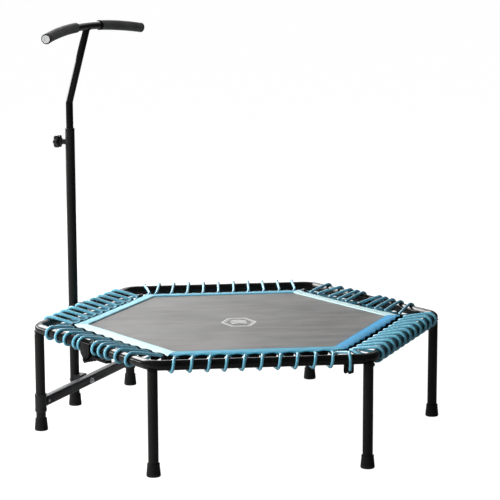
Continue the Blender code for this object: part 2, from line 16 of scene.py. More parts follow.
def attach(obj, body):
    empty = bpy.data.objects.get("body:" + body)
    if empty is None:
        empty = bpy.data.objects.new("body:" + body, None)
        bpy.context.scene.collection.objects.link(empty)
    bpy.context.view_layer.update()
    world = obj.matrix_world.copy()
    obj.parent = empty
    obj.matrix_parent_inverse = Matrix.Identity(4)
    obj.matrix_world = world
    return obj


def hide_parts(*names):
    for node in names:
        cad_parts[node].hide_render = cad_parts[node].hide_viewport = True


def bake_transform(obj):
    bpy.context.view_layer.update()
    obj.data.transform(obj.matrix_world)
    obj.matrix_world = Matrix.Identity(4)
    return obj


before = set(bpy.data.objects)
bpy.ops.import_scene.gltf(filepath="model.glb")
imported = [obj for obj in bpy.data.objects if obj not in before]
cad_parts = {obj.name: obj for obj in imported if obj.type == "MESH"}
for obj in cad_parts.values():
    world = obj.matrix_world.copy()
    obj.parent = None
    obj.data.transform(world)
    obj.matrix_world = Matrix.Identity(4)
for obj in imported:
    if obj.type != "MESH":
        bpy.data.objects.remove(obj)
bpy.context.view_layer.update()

# Dimensions of the CAD model.
TUBE_R = 0.015
TUBE_BORE = 0.0135
VERTEX_R = 0.627
BEND_R = 0.055
FRAME_Z = 0.3245
LEG_RING_R = 0.620
FOOT_HEIGHT = 0.038
FOOT_TOP_R = 0.0185
FOOT_BASE_R = 0.021
FOOT_FLOOR = 0.012
STUD_R = 0.0081
STUD_BOTTOM_Z = 0.262
FLANGE = 0.003            # thickness of the flange on a leg stud
GAP = 0.0003
MAT_CORNER_R = 0.512
MAT_Z = 0.3288
BORDER_TOP = 0.0032       # the border's upper face above the middle of the mat
BORDER_WIDTH = 0.038
CORD_R = 0.0045
PIVOT_BACK = 0.011
PIVOT_Z = 0.284
POST_RING_R = 0.5834
POST_TOP_Z = 0.906
BRACE_Z = 0.087
BRACE_DEPTH = 0.026
SLEEVE_R = 0.0185
SLEEVE_BORE = 0.0155
SLEEVE_Z = (0.058, 0.1164)
STEM_R = 0.0115
STEM_BORE = 0.010
STEM_BOTTOM_Z = 0.600
STEM_BEND_Z = 0.993
STEM_BEND_R = 0.060
BAR_RING_R = 0.515
BAR_Z = 1.234
BAR_HALF = 0.3195
BAR_SWEEP = 0.031
BAR_DROOP = 0.0216
BAR_R = 0.0125
BAR_BORE = 0.011
GRIP_R = 0.0155
GRIP_SPAN = (0.080, 0.3175)
KNOB_Z = 0.865
KNOB_NEAR = 0.0275
KNOB_FAR = 0.054
KNOB_R = 0.0195
KNOB_LOBE = 0.0022
KNOB_LOBES = 6

FRONT, FRONT_RIGHT, BACK_RIGHT, BACK, BACK_LEFT, FRONT_LEFT = -90, -30, 30, 90, 150, 210
CORNERS = {"right": 0, "back_right": 60, "back_left": 120, "left": 180, "front_left": 240,
           "front_right": 300}
CORNER_BODY = {"right": "front_frame", "front_left": "front_frame", "front_right": "front_frame",
               "back_right": "rear_frame", "back_left": "rear_frame", "left": "rear_frame"}
UP = Vector((0, 0, 1))
COS30, TAN30 = math.cos(math.radians(30)), math.tan(math.radians(30))


def direction(degrees):
    angle = math.radians(degrees)
    return Vector((math.cos(angle), math.sin(angle), 0))


APOTHEM = VERTEX_R * COS30
MAT_APOTHEM = MAT_CORNER_R * COS30
FOLD_LINE = direction(30)
FORWARD = direction(-60)
POST_OUT = direction(BACK_LEFT)
POST_ALONG = direction(60)

rng = random.Random(7)


# Camera, light and floor.

AZIMUTH, ELEVATION, ROLL = -7.128, 10.095, -0.178
DISTANCE = 5.792
TARGET_RIGHT, TARGET_Z = 0.0360, 0.5524
LENS = 134.38


def add_camera():
    a, e, r = (math.radians(x) for x in (AZIMUTH, ELEVATION, ROLL))
    back = Vector((math.sin(a) * math.cos(e), -math.cos(a) * math.cos(e), math.sin(e)))
    right = (-back).cross(UP).normalized()
    up = right.cross(-back)
    x_axis = right * math.cos(r) + up * math.sin(r)
    y_axis = up * math.cos(r) - right * math.sin(r)
    place = right * TARGET_RIGHT + UP * TARGET_Z + back * DISTANCE
    data = bpy.data.cameras.new("camera")
    data.lens = LENS
    data.sensor_width = 36
    data.clip_end = 100
    made = bpy.data.objects.new("camera", data)
    bpy.context.scene.collection.objects.link(made)
    turn = Matrix((x_axis, y_axis, back)).transposed().to_4x4()
    made.matrix_world = Matrix.Translation(place) @ turn
    bpy.context.scene.camera = made


def add_softbox(name, place, aim, size, radiance, mirrored=True, scattered=True):
    """An area light. mirrored and scattered say whether gloss and matt surfaces receive it."""
    data = bpy.data.lights.new(name, "AREA")
    data.shape = "RECTANGLE"
    data.size, data.size_y = size
    data.energy = math.pi * radiance * size[0] * size[1]
    made = bpy.data.objects.new(name, data)
    made.location = place
    made.rotation_mode = "QUATERNION"
    made.rotation_quaternion = (Vector(aim) - Vector(place)).to_track_quat("-Z", "Y")
    made.visible_camera = False
    made.visible_glossy = mirrored
    made.visible_diffuse = scattered
    bpy.context.scene.collection.objects.link(made)


WORLD_SEEN = 1.0
WORLD_LIGHT = 0.09
FLOOR_HALF = 40
FLOOR_DROP = 0.0005       # keeps the floor just clear of the feet
FLOOR_GLOW = 0.975
FLOOR_SEEN = 0.20         # what the camera sees, besides the glow
FLOOR_MIRRORED = 0.36     # what every other ray meets


def shader_output(tree, kind, **inputs):
    made = tree.nodes.new("ShaderNode" + kind)
    for key, value in inputs.items():
        made.inputs[key].default_value = value
    return made.outputs[0]


def camera_or_other(tree, output, seen, other):
    """Gives the camera one shader and every other ray the other."""
    mix = tree.nodes.new("ShaderNodeMixShader")
    path = tree.nodes.new("ShaderNodeLightPath")
    tree.links.new(path.outputs["Is Camera Ray"], mix.inputs["Fac"])
    tree.links.new(other, mix.inputs[1])
    tree.links.new(seen, mix.inputs[2])
    tree.links.new(mix.outputs[0], tree.nodes.new("ShaderNodeOutput" + output).inputs["Surface"])


def empty_tree(owner):
    owner.use_nodes = True
    owner.node_tree.nodes.clear()
    return owner.node_tree


def add_world():
    world = bpy.data.worlds.new("studio")
    bpy.context.scene.world = world
    tree = empty_tree(world)
    seen = shader_output(tree, "Background", Color=(1, 1, 1, 1), Strength=WORLD_SEEN)
    dim = shader_output(tree, "Background", Color=(0.93, 0.96, 1.0, 1), Strength=WORLD_LIGHT)
    camera_or_other(tree, "World", seen, dim)


def add_floor():
    """A pale floor that the camera sees nearly white and the gloss sees dimmer."""
    mesh = bpy.data.meshes.new("floor")
    corners = [(x * FLOOR_HALF, y * FLOOR_HALF, 0) for x, y in ((-1, -1), (1, -1), (1, 1), (-1, 1))]
    mesh.from_pydata(corners, [], [(0, 1, 2, 3)])
    floor = bpy.data.objects.new("floor", mesh)
    bpy.context.scene.collection.objects.link(floor)
    floor.location.z = -FLOOR_DROP
    made = bpy.data.materials.new("floor_white")
    tree = empty_tree(made)
    add = tree.nodes.new("ShaderNodeAddShader")
    white = shader_output(tree, "BsdfDiffuse", Color=(*[FLOOR_SEEN] * 3, 1))
    tree.links.new(shader_output(tree, "Emission", Strength=FLOOR_GLOW), add.inputs[0])
    tree.links.new(white, add.inputs[1])
    dim = shader_output(tree, "BsdfDiffuse", Color=(*[FLOOR_MIRRORED] * 3, 1))
    camera_or_other(tree, "Material", add.outputs[0], dim)
    mesh.materials.append(made)


def add_studio():
    add_camera()
    add_world()
    add_floor()
    add_softbox("backdrop", (-1.4, 4.2, 1.10), (-0.1, 0, 0.40), (4.2, 1.9), 1.1)
    add_softbox("back_top", (-0.3, 3.8, 2.45), (-0.2, 0, 0.33), (2.4, 1.1), 4.0)
    add_softbox("key_back_left", (-1.9, 2.75, 2.8), (-0.2, -0.1, 0.33), (2.6, 1.7), 14.0,
                scattered=False)
    add_softbox("key_soft", (-2.3, 2.3, 2.6), (-0.3, -0.1, 0.33), (2.2, 1.7), 9.5,
                mirrored=False)
    add_softbox("side_left", (-3.2, -0.9, 1.0), (-0.4, 0, 0.4), (1.8, 1.8), 12.0,
                mirrored=False)
    add_softbox("stem_edge", (-3.6, 2.3, 1.25), (-0.5, 0.25, 1.15), (2.4, 0.6), 12.0)
    add_softbox("back_right", (1.5, 3.3, 2.7), (0, 0.1, 0.8), (1.6, 1.2), 1.2)
    add_softbox("overhead", (-0.3, -0.3, 3.6), (-0.1, 0, 0.33), (3.0, 3.0), 0.5,
                mirrored=False)
    add_softbox("front_fill", (-2.6, -4.2, 3.0), (0, 0, 0.5), (3.0, 2.0), 2.0,
                mirrored=False)
    bpy.context.scene.view_settings.view_transform = "Standard"
    bpy.context.scene.view_settings.look = "None"


# Materials.

class Shader:
    """A material's node tree, with short calls for the nodes that this file uses."""

    def __init__(self, name, colour, roughness, metallic=0.0, specular=0.5):
        self.material = bpy.data.materials.new(name)
        self.material.use_nodes = True
        self.material.diffuse_color = (*colour, 1)
        self.tree = self.material.node_tree
        self.bsdf = self.tree.nodes["Principled BSDF"]
        self.set("Base Color", (*colour, 1))
        self.set("Roughness", roughness)
        self.set("Metallic", metallic)
        self.set("Specular IOR Level", specular)
        self.coords = self.tree.nodes.new("ShaderNodeTexCoord")

    def set(self, socket, value):
        self.bsdf.inputs[socket].default_value = value

    def node(self, kind, **inputs):
        made = self.tree.nodes.new(kind)
        for key, value in inputs.items():
            self.feed(made.inputs[key], value)
        return made

    def feed(self, socket, value):
        if isinstance(value, bpy.types.NodeSocket):
            self.tree.links.new(value, socket)
        else:
            socket.default_value = value

    def place(self, space="Object", scale=(1, 1, 1), rotation=(0, 0, 0)):
        made = self.node("ShaderNodeMapping", Vector=self.coords.outputs[space], Scale=scale)
        made.inputs["Rotation"].default_value = rotation
        return made.outputs["Vector"]

    def noise(self, vector, scale, detail=4.0, roughness=0.55):
        made = self.node("ShaderNodeTexNoise", Vector=vector, Scale=scale, Detail=detail,
                         Roughness=roughness)
        return made.outputs["Fac"]

    def bands(self, vector, scale, axis="X"):
        made = self.node("ShaderNodeTexWave", Vector=vector, Scale=scale)
        made.wave_type = "BANDS"
        made.bands_direction = axis
        return made.outputs["Fac"]

    def cells(self, vector, scale):
        made = self.node("ShaderNodeTexVoronoi", Vector=vector, Scale=scale)
        return made.outputs["Distance"]

    def spread(self, value, low, high, out_low=0.0, out_high=1.0):
        made = self.node("ShaderNodeMapRange", Value=value)
        for key, number in (("From Min", low), ("From Max", high), ("To Min", out_low),
                            ("To Max", out_high)):
            made.inputs[key].default_value = number
        return made.outputs["Result"]

    def maths(self, operation, first, second):
        made = self.tree.nodes.new("ShaderNodeMath")
        made.operation = operation
        self.feed(made.inputs[0], first)
        self.feed(made.inputs[1], second)
        return made.outputs[0]

    def blend(self, share, first, second):
        made = self.tree.nodes.new("ShaderNodeMix")
        made.data_type = "RGBA"
        self.feed(made.inputs["Factor"], share)
        for key, colour in (("A", first), ("B", second)):
            socket = [s for s in made.inputs if s.name == key and s.type == "RGBA"][0]
            linked = isinstance(colour, bpy.types.NodeSocket)
            self.feed(socket, colour if linked else (*colour, 1))
        return [s for s in made.outputs if s.type == "RGBA"][0]

    def times(self, first, second):
        return self.maths("MULTIPLY", first, second)

    def plus(self, first, second, share=None):
        return self.maths("ADD", first, second if share is None else self.times(second, share))

    def colour(self, share, first, second):
        self.feed(self.bsdf.inputs["Base Color"], self.blend(share, first, second))

    def roughness(self, value, rough, low=0.3, high=0.7):
        self.feed(self.bsdf.inputs["Roughness"], self.spread(value, low, high, *rough))

    def bump(self, height, strength, distance):
        made = self.node("ShaderNodeBump", Height=height, Strength=strength, Distance=distance)
        self.feed(self.bsdf.inputs["Normal"], made.outputs["Normal"])


def paint(name, colour, worn, rough, peel_scale, peel, specular):
    """Baked paint: a fine orange peel, slight clouds in the gloss, and dust in faint patches."""
    s = Shader(name, colour, rough[0], specular=specular)
    here = s.place()
    clouds = s.noise(here, 9.0)
    specks = s.noise(here, 420.0, 2.0)
    dust = s.times(s.spread(clouds, 0.45, 0.75), s.spread(specks, 0.45, 0.70))
    s.colour(dust, colour, worn)
    s.roughness(s.plus(clouds, specks, 0.3), rough, 0.4, 0.9)
    s.bump(s.noise(here, peel_scale, 3.0), peel, 0.0006)
    return s.material


def make_materials():
    made = {}
    made["gloss"] = paint("gloss_black_paint", (0.0065, 0.0063, 0.0062), (0.012, 0.0118, 0.0115),
                          (0.12, 0.22), 260.0, 0.05, 0.28)
    made["satin"] = paint("satin_black_powder_coat", (0.0105, 0.0102, 0.0098),
                          (0.020, 0.0195, 0.019), (0.36, 0.50), 950.0, 0.16, 0.26)
    made["plate"] = paint("black_plate_paint", (0.006, 0.0058, 0.0056), (0.012, 0.0118, 0.0115),
                          (0.30, 0.42), 700.0, 0.10, 0.12)
    # A paler copy of the satin black: the brace is black steel, and the grey paints on the light
    # that it catches.
    made["brace"] = paint("satin_black_with_painted_light", (0.032, 0.032, 0.034), (0.050, 0.050, 0.052),
                          (0.32, 0.46), 950.0, 0.16, 0.30)

    s = Shader("moulded_black_rubber", (0.011, 0.011, 0.0108), 0.7, specular=0.3)
    here = s.place()
    scuffs = s.noise(s.place(scale=(1, 1, 0.25)), 60.0)
    low = s.tree.nodes.new("ShaderNodeSeparateXYZ")
    s.feed(low.inputs[0], s.coords.outputs["Object"])
    near_floor = s.spread(low.outputs["Z"], 0.012, 0.0, 0.0, 0.8)
    wear = s.times(s.spread(scuffs, 0.45, 0.7), near_floor)
    s.colour(wear, (0.011, 0.011, 0.0108), (0.05, 0.048, 0.045))
    s.roughness(scuffs, (0.62, 0.82))
    s.bump(s.noise(here, 1400.0, 2.0), 0.25, 0.0004)
    made["rubber"] = s.material

    s = Shader("moulded_black_plastic", (0.012, 0.012, 0.0125), 0.42, specular=0.4)
    here = s.place()
    s.roughness(s.noise(here, 35.0), (0.34, 0.52))
    s.colour(s.spread(s.noise(here, 80.0), 0.45, 0.75), (0.012, 0.012, 0.0125),
                     (0.018, 0.018, 0.0185))
    s.bump(s.cells(here, 1500.0), 0.12, 0.0003)
    made["plastic"] = s.material

    s = Shader("zinc_plated_steel", (0.85, 0.85, 0.86), 0.22, metallic=0.6)
    here = s.place()
    s.roughness(s.noise(here, 300.0), (0.16, 0.36))
    s.colour(s.spread(s.noise(here, 120.0), 0.4, 0.7), (0.90, 0.90, 0.91),
                     (0.68, 0.68, 0.70))
    s.bump(s.noise(s.place(scale=(1, 1, 12)), 500.0, 2.0), 0.08, 0.0002)
    made["zinc"] = s.material

    s = Shader("pale_grey_plastic", (0.60, 0.61, 0.60), 0.5)
    here = s.place()
    s.colour(s.noise(here, 160.0), (0.56, 0.57, 0.56), (0.44, 0.45, 0.44))
    s.roughness(s.noise(here, 90.0), (0.40, 0.58))
    s.bump(s.noise(here, 1800.0, 2.0), 0.10, 0.0002)
    made["grey"] = s.material

    s = Shader("closed_cell_foam", (0.016, 0.016, 0.0165), 0.92, specular=0.2)
    here = s.place()
    pores = s.cells(here, 1300.0)
    tired = s.noise(here, 22.0)
    s.colour(s.times(s.spread(pores, 0.2, 0.6), s.spread(tired, 0.3, 0.7)),
                     (0.076, 0.075, 0.074), (0.158, 0.154, 0.150))
    s.roughness(tired, (0.82, 0.98))
    s.set("Sheen Weight", 0.25)
    s.bump(s.plus(pores, s.noise(here, 260.0), 0.6), 0.5, 0.0006)
    made["foam"] = s.material

    made["mat"] = mat_material()
    # The border is one blue tape. These five tones, one for each side, are painted sheen and
    # painted shade: pale where a side's weave catches the back-left light, deep on the front-right
    # side, which lies in shade.
    for tone, colour in (("deep", (0.070, 0.50, 0.95)), ("near", (0.095, 0.50, 0.72)),
                         ("mid", (0.18, 0.58, 0.78)), ("light", (0.31, 0.70, 0.84)),
                         ("pale", (0.66, 0.94, 0.96))):
        made["border_" + tone] = border_material("border_" + tone, colour)
    made["cord"] = cord_material()
    made["webbing"] = webbing_material("black_webbing", (0.006, 0.006, 0.0062),
                                       (0.012, 0.012, 0.0125), 0.0)
    # Navy thread for the inner stitch row, dark enough that the row also paints the shade line
    # along the border's inner edge.
    made["thread_dark_and_painted_shade"] = webbing_material("navy_thread_and_painted_shade", (0.010, 0.035, 0.06), (0.02, 0.06, 0.10))
    made["thread_pale"] = webbing_material("pale_thread", (0.45, 0.72, 0.82), (0.62, 0.85, 0.92))

    s = Shader("screen_print_white", (0.80, 0.80, 0.80), 0.55)
    flat = s.place("UV")
    worn = s.noise(flat, 260.0, 5.0, 0.7)
    s.colour(s.spread(worn, 0.52, 0.72), (0.86, 0.86, 0.86), (0.55, 0.55, 0.55))
    s.roughness(worn, (0.45, 0.65))
    s.bump(s.bands(flat, 160.0), 0.15, 0.0002)
    made["print"] = s.material
    return made


def mat_material():
    """Woven flat yarn, 2 mm each way, with long faint streaks where yarns differ."""
    s = Shader("woven_mat", (0.15, 0.15, 0.15), 0.5, specular=0.30)
    flat = s.place("UV")
    across = s.bands(flat, 78.0, "X")
    along = s.bands(flat, 78.0, "Y")
    weave = s.times(across, along)
    streaks = s.noise(s.place("UV", scale=(0.45, 2.8, 1)), 7.0, 6.0, 0.68)
    fine = s.noise(s.place("UV", scale=(6, 160.0, 1)), 6.0, 3.0, 0.6)
    clouds = s.noise(flat, 5.0, 3.0)
    tone = s.plus(s.times(streaks, 0.75), fine, 0.25)
    dark = s.blend(s.spread(weave, 0.0, 0.6), (0.034, 0.0326, 0.0312), (0.056, 0.0540, 0.0520))
    s.colour(s.spread(tone, 0.42, 0.58), dark, (0.165, 0.155, 0.146))
    s.roughness(s.plus(tone, clouds, 0.4), (0.32, 0.62), 0.52, 0.82)
    s.set("Sheen Weight", 0.15)
    s.set("Sheen Roughness", 0.4)
    s.bump(s.plus(weave, fine, 0.8), 0.35, 0.0005)
    return s.material


def border_material(name, colour):
    """Close-woven tape: ribs across it, a soft sheen, and a little fading."""
    s = Shader(name, colour, 0.5, specular=0.2)
    flat = s.place("UV")
    ribs = s.bands(flat, 130.0, "X")
    fade = s.noise(flat, 11.0, 4.0)
    threads = s.noise(s.place("UV", scale=(30, 3, 1)), 40.0, 3.0)
    deep = tuple(c * 0.86 for c in colour)
    pale = tuple(min(1.0, c * 1.12) for c in colour)
    s.colour(s.spread(s.plus(fade, threads, 0.5), 0.5, 1.0),
                     deep, pale)
    s.roughness(threads, (0.42, 0.62))
    s.set("Sheen Weight", 0.05)
    s.set("Sheen Roughness", 0.35)
    s.bump(s.plus(ribs, threads, 0.5), 0.35, 0.0004)
    return s.material


def cord_material():
    """Braided sleeve: two sets of strands crossing in diamonds, with paler tracer strands."""
    s = Shader("braided_cord", (0.16, 0.43, 0.56), 0.6, specular=0.35)
    one, two = (s.bands(s.place("UV", rotation=(0, 0, math.radians(lay))), 160.0)
                for lay in (45, -45))
    braid = s.maths("MAXIMUM", one, two)
    fuzz = s.noise(s.place("UV"), 900.0, 3.0)
    tracer = s.noise(s.place("UV", scale=(1, 0.3, 1)), 420.0, 2.0)
    mixed = s.blend(s.spread(braid, 0.2, 0.9), (0.030, 0.22, 0.34), (0.17, 0.56, 0.74))
    s.colour(s.spread(tracer, 0.52, 0.66), mixed, (0.30, 0.70, 0.84))
    s.roughness(fuzz, (0.48, 0.68))
    s.set("Coat Weight", 1.0)
    s.set("Coat IOR", 1.6)
    s.set("Coat Roughness", 0.22)
    s.bump(s.plus(braid, fuzz, 0.4), 0.25, 0.0005)
    return s.material


def webbing_material(name, colour, pale, specular=0.15):
    s = Shader(name, colour, 0.7, specular=specular)
    flat = s.place("UV")
    ribs = s.bands(flat, 220.0, "Y")
    fuzz = s.noise(flat, 700.0, 3.0)
    s.colour(s.spread(s.plus(ribs, fuzz), 0.6, 1.4), colour, pale)
    s.roughness(fuzz, (0.6, 0.8))
    s.bump(ribs, 0.5, 0.0004)
    return s.material


MATERIALS = make_materials()
SLOTS = {"gloss": "gloss_black_steel", "satin": "satin_black_steel",
         "brace": "satin_black_steel", "plate": "satin_black_steel", "plastic": "black_plastic",
         "webbing": "black_plastic", "rubber": "black_rubber", "zinc": "zinc_steel",
         "foam": "foam", "grey": "grey_plastic", "cord": "blue_cord"}


# Mesh tools.

def mesh_object(name, mesh, material, sharp):
    mesh.materials.append(material)
    mesh.shade_smooth()
    mesh.set_sharp_from_angle(angle=math.radians(sharp))
    made = bpy.data.objects.new(name, mesh)
    bpy.context.scene.collection.objects.link(made)
    return made


def declare(piece, key, body, nodes=(), slot=None):
    """Puts the piece on the body it rides and hides the nodes it stands for; the slot is looked up
    but given to nothing.
    """
    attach(piece, body)
    if nodes:
        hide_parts(*nodes)
    slot or SLOTS[key]
    return piece


class Builder:
    """Collects points, faces and UVs (in metres on the surface), then makes one object."""

    def __init__(self):
        self.points, self.faces, self.uvs = [], [], []

    def add(self, points, faces, uvs):
        start = len(self.points)
        self.points += [tuple(p) for p in points]
        self.faces += [tuple(start + i for i in f) for f in faces]
        self.uvs += uvs

    def make(self, name, key, sharp=35.0):
        mesh = bpy.data.meshes.new(name)
        mesh.from_pydata(self.points, [], self.faces)
        layer = mesh.uv_layers.new(name="UVMap")
        values = [c for face in self.uvs for uv in face for c in uv]
        layer.data.foreach_set("uv", values)
        work = bmesh.new()
        work.from_mesh(mesh)
        bmesh.ops.recalc_face_normals(work, faces=work.faces)
        work.to_mesh(mesh)
        work.free()
        return mesh_object(name, mesh, MATERIALS[key], sharp)


def even(width, count):
    return [width * i / count for i in range(count + 1)]


def circle(centre, side, other, radius, sides):
    return [centre + (math.cos(a) * side + math.sin(a) * other) * radius
            for a in even(math.tau, sides)[:-1]]


def rings_to_faces(builder, rings, lengths, around, closed_loop=False):
    """Skins rings of points. lengths gives v at each ring, and around u at each point."""
    count = len(rings[0])
    faces, uvs = [], []
    for k in range(len(rings) if closed_loop else len(rings) - 1):
        n = (k + 1) % len(rings)
        for i in range(count):
            j = (i + 1) % count
            faces.append((k * count + i, k * count + j, n * count + j, n * count + i))
            (u0, u1), (v0, v1) = around[i:i + 2], lengths[k:k + 2]
            uvs.append([(u0, v0), (u1, v0), (u1, v1), (u0, v1)])
    if not closed_loop:
        for k, order in ((0, range(count)[::-1]), (len(rings) - 1, range(count))):
            faces.append(tuple(k * count + i for i in order))
            uvs.append([(around[i], lengths[k]) for i in order])
    builder.add([p for ring in rings for p in ring], faces, uvs)


def path_frames(path):
    tangents = []
    for i, point in enumerate(path):
        before = (point - path[i - 1]).normalized() if i > 0 else Vector()
        after = (path[i + 1] - point).normalized() if i < len(path) - 1 else Vector()
        tangents.append((before + after).normalized())
    side = tangents[0].cross(UP)
    if side.length < 0.1:
        side = tangents[0].cross(POST_ALONG)
    side.normalize()
    frames = []
    for tangent in tangents:
        side = (side - tangent * side.dot(tangent)).normalized()
        frames.append((side, tangent.cross(side)))
    return frames


def distances(path):
    run = [0.0]
    for a, b in zip(path, path[1:]):
        run.append(run[-1] + (b - a).length)
    return run


def add_sweep(builder, path, radii, sides):
    """A round section along the path. radii is one radius or one for each point."""
    if isinstance(radii, float):
        radii = [radii] * len(path)
    rings = [circle(centre, *sideways, r, sides)
             for centre, sideways, r in zip(path, path_frames(path), radii)]
    rings_to_faces(builder, rings, distances(path), even(math.tau * max(radii), sides))


def add_hollow_sweep(builder, path, radius, bore, sides=40, lip=0.0005):
    """A tube with rounded lips, as one closed skin."""
    frames = path_frames(path)
    start, end, last = path[0], path[-1], len(path) - 1
    start_in = start + (path[1] - start).normalized() * lip
    end_in = end + (path[-2] - end).normalized() * lip
    stations = [(start, radius - lip, 0), (start_in, radius, 0)]
    stations += [(p, radius, k) for k, p in enumerate(path[1:-1], 1)]
    stations += [(end_in, radius, last), (end, radius - lip, last), (end, bore + lip, last),
                 (end_in, bore, last)]
    stations += [(p, bore, k) for k, p in list(enumerate(path))[-2:0:-1]]
    stations += [(start_in, bore, 0), (start, bore + lip, 0)]
    rings = [circle(centre, *frames[at], r, sides) for centre, r, at in stations]
    lengths = [0.0]
    for (here, r, _), (there, next_r, _) in zip(stations, stations[1:] + stations[:1]):
        lengths.append(lengths[-1] + (there - here).length + abs(next_r - r))
    rings_to_faces(builder, rings, lengths, even(math.tau * radius, sides), True)


def smooth_path(points, spacing):
    """A curve through all the points, then read off at even spacing."""
    dense = []
    padded = [points[0] * 2 - points[1]] + list(points) + [points[-1] * 2 - points[-2]]
    for a, b, c, d in zip(padded, padded[1:], padded[2:], padded[3:]):
        steps = max(2, int((c - b).length / spacing * 2))
        tension = [max((q - p).length, 1e-6) ** 0.5 for p, q in ((a, b), (b, c), (c, d))]
        t0, t1 = 0.0, tension[0]
        t2 = t1 + tension[1]
        t3 = t2 + tension[2]
        for i in range(steps):
            t = t1 + (t2 - t1) * i / steps
            p1 = a * ((t1 - t) / (t1 - t0)) + b * ((t - t0) / (t1 - t0))
            p2 = b * ((t2 - t) / (t2 - t1)) + c * ((t - t1) / (t2 - t1))
            p3 = c * ((t3 - t) / (t3 - t2)) + d * ((t - t2) / (t3 - t2))
            q1 = p1 * ((t2 - t) / (t2 - t0)) + p2 * ((t - t0) / (t2 - t0))
            q2 = p2 * ((t3 - t) / (t3 - t1)) + p3 * ((t - t1) / (t3 - t1))
            dense.append(q1 * ((t2 - t) / (t2 - t1)) + q2 * ((t - t1) / (t2 - t1)))
    dense.append(points[-1])
    run = distances(dense)
    count = max(2, round(run[-1] / spacing))
    out, k = [], 0
    for i in range(count + 1):
        wanted = run[-1] * i / count
        while k < len(run) - 2 and run[k + 1] < wanted:
            k += 1
        share = (wanted - run[k]) / max(run[k + 1] - run[k], 1e-9)
        out.append(dense[k].lerp(dense[k + 1], min(max(share, 0.0), 1.0)))
    return out


def fillet(profile, radius, closed=False, steps=4):
    """Rounds the corners of a (radius, along) profile."""
    count = len(profile)
    out = []
    for i, point in enumerate(profile):
        here = Vector(point)
        if not closed and i in (0, count - 1):
            out.append(here)
            continue
        before, after = Vector(profile[i - 1]), Vector(profile[(i + 1) % count])
        back, on = before - here, after - here
        if back.length < 1e-7 or on.length < 1e-7:
            out.append(here)
            continue
        reach = min(radius, back.length * 0.45, on.length * 0.45)
        start, end = here + back.normalized() * reach, here + on.normalized() * reach
        for k in range(steps + 1):
            t = k / steps
            out.append(start * (1 - t) ** 2 + here * 2 * t * (1 - t) + end * t ** 2)
    return [(p[0], p[1]) for p in out]


def axis_frame(axis):
    axis = axis.normalized()
    side = axis.cross(UP)
    if side.length < 0.1:
        side = axis.cross(POST_ALONG)
    side.normalize()
    return axis, side, axis.cross(side)


def add_turning(builder, base, axis, profile, sides, closed=False, shape=None):
    """Turns (radius, along) points about the axis. shape(angle, k) scales the radius."""
    axis, side, other = axis_frame(axis)
    rings = []
    for k, (radius, along) in enumerate(profile):
        centre = base + axis * along
        rings.append([centre + (math.cos(a) * side + math.sin(a) * other)
                      * (radius * (shape(a, k) if shape else 1.0))
                      for a in even(math.tau, sides)[:-1]])
    lengths = [0.0]
    for (r0, a0), (r1, a1) in zip(profile, profile[1:] + profile[:1]):
        lengths.append(lengths[-1] + math.hypot(r1 - r0, a1 - a0))
    width = math.tau * max(r for r, _ in profile)
    rings_to_faces(builder, rings, lengths, even(width, sides), closed)


def add_loft(builder, rings, closed_loop=False):
    """Skins rings that are given as lists of points."""
    mids = [sum(ring, Vector()) / len(ring) for ring in rings]
    rings_to_faces(builder, rings, distances(mids + mids[:1]), distances(rings[0] + rings[0][:1]),
                   closed_loop)


def hex_shape(angle):
    """Scales a circle of the corner radius to a hexagon."""
    return COS30 / math.cos((angle % math.radians(60)) - math.radians(30))


def finish_piece(builder, name, key, body, nodes=(), sharp=35.0, slot=None):
    return declare(builder.make(name, key, sharp), key, body, nodes, slot)


def turned(name, key, body, nodes, base, axis, profile, sides, closed=False, **finish):
    """One piece turned about an axis."""
    piece = Builder()
    add_turning(piece, base, axis, profile, sides, closed)
    return finish_piece(piece, name, key, body, nodes, **finish)


def side_place(degrees):
    out, along = direction(degrees), direction(degrees + 90)

    def place(outward, sideways, height):
        return out * outward + along * sideways + UP * height

    return place


def softened(node, name, key, body, width):
    """A CAD node's own shape with its edges rounded over, as pressing and moulding leave them."""
    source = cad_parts[node]
    mesh = source.data.copy()
    mesh.transform(source.matrix_world)
    work = bmesh.new()
    work.from_mesh(mesh)
    bmesh.ops.remove_doubles(work, verts=work.verts, dist=1e-5)
    bmesh.ops.dissolve_limit(work, angle_limit=math.radians(1.5), verts=work.verts,
                             edges=work.edges)
    edges = [e for e in work.edges
             if len(e.link_faces) == 2 and e.calc_face_angle(0.0) > math.radians(32)]
    bmesh.ops.bevel(work, geom=edges, offset=width, segments=2, profile=0.6, affect="EDGES",
                    clamp_overlap=True)
    bmesh.ops.triangulate(work, faces=[f for f in work.faces if len(f.verts) > 4])
    bmesh.ops.recalc_face_normals(work, faces=work.faces)
    work.to_mesh(mesh)
    work.free()
    mesh.materials.clear()
    for polygon in mesh.polygons:
        polygon.material_index = 0
    declare(mesh_object(name, mesh, MATERIALS[key], 35), key, body, [node])


# The frame and its legs.

def corner_arc(degrees):
    middle = direction(degrees) * (APOTHEM - BEND_R) / COS30
    steps = 18
    turns = [degrees - 30 + 60 * i / steps for i in range(steps + 1)]
    return [middle + direction(t) * BEND_R + UP * FRAME_Z for t in turns]


def frame_half(name, node, body, corners, sign):
    split = FORWARD * (sign * GAP) + UP * FRAME_Z
    ends = [direction(FRONT_LEFT) * APOTHEM + split, direction(BACK_RIGHT) * APOTHEM + split]
    start, finish = ends if sign > 0 else ends[::-1]
    path = [start]
    for degrees in corners:
        bend = corner_arc(degrees)
        for share in (0.33, 0.33, 0.6):
            path.append(path[-1].lerp(bend[0], share))
        path += bend
    path.append(finish)
    tube = Builder()
    add_hollow_sweep(tube, path, TUBE_R, TUBE_BORE)
    finish_piece(tube, name, "gloss", body, [node], 50)


def thread(radius, depth, rise, pitch, start, stop):
    """The crests and roots of a screw thread, as points of a turned profile."""
    points = []
    while start < stop:
        points += [(radius, start), (radius - depth, start + rise)]
        start += pitch
    return points


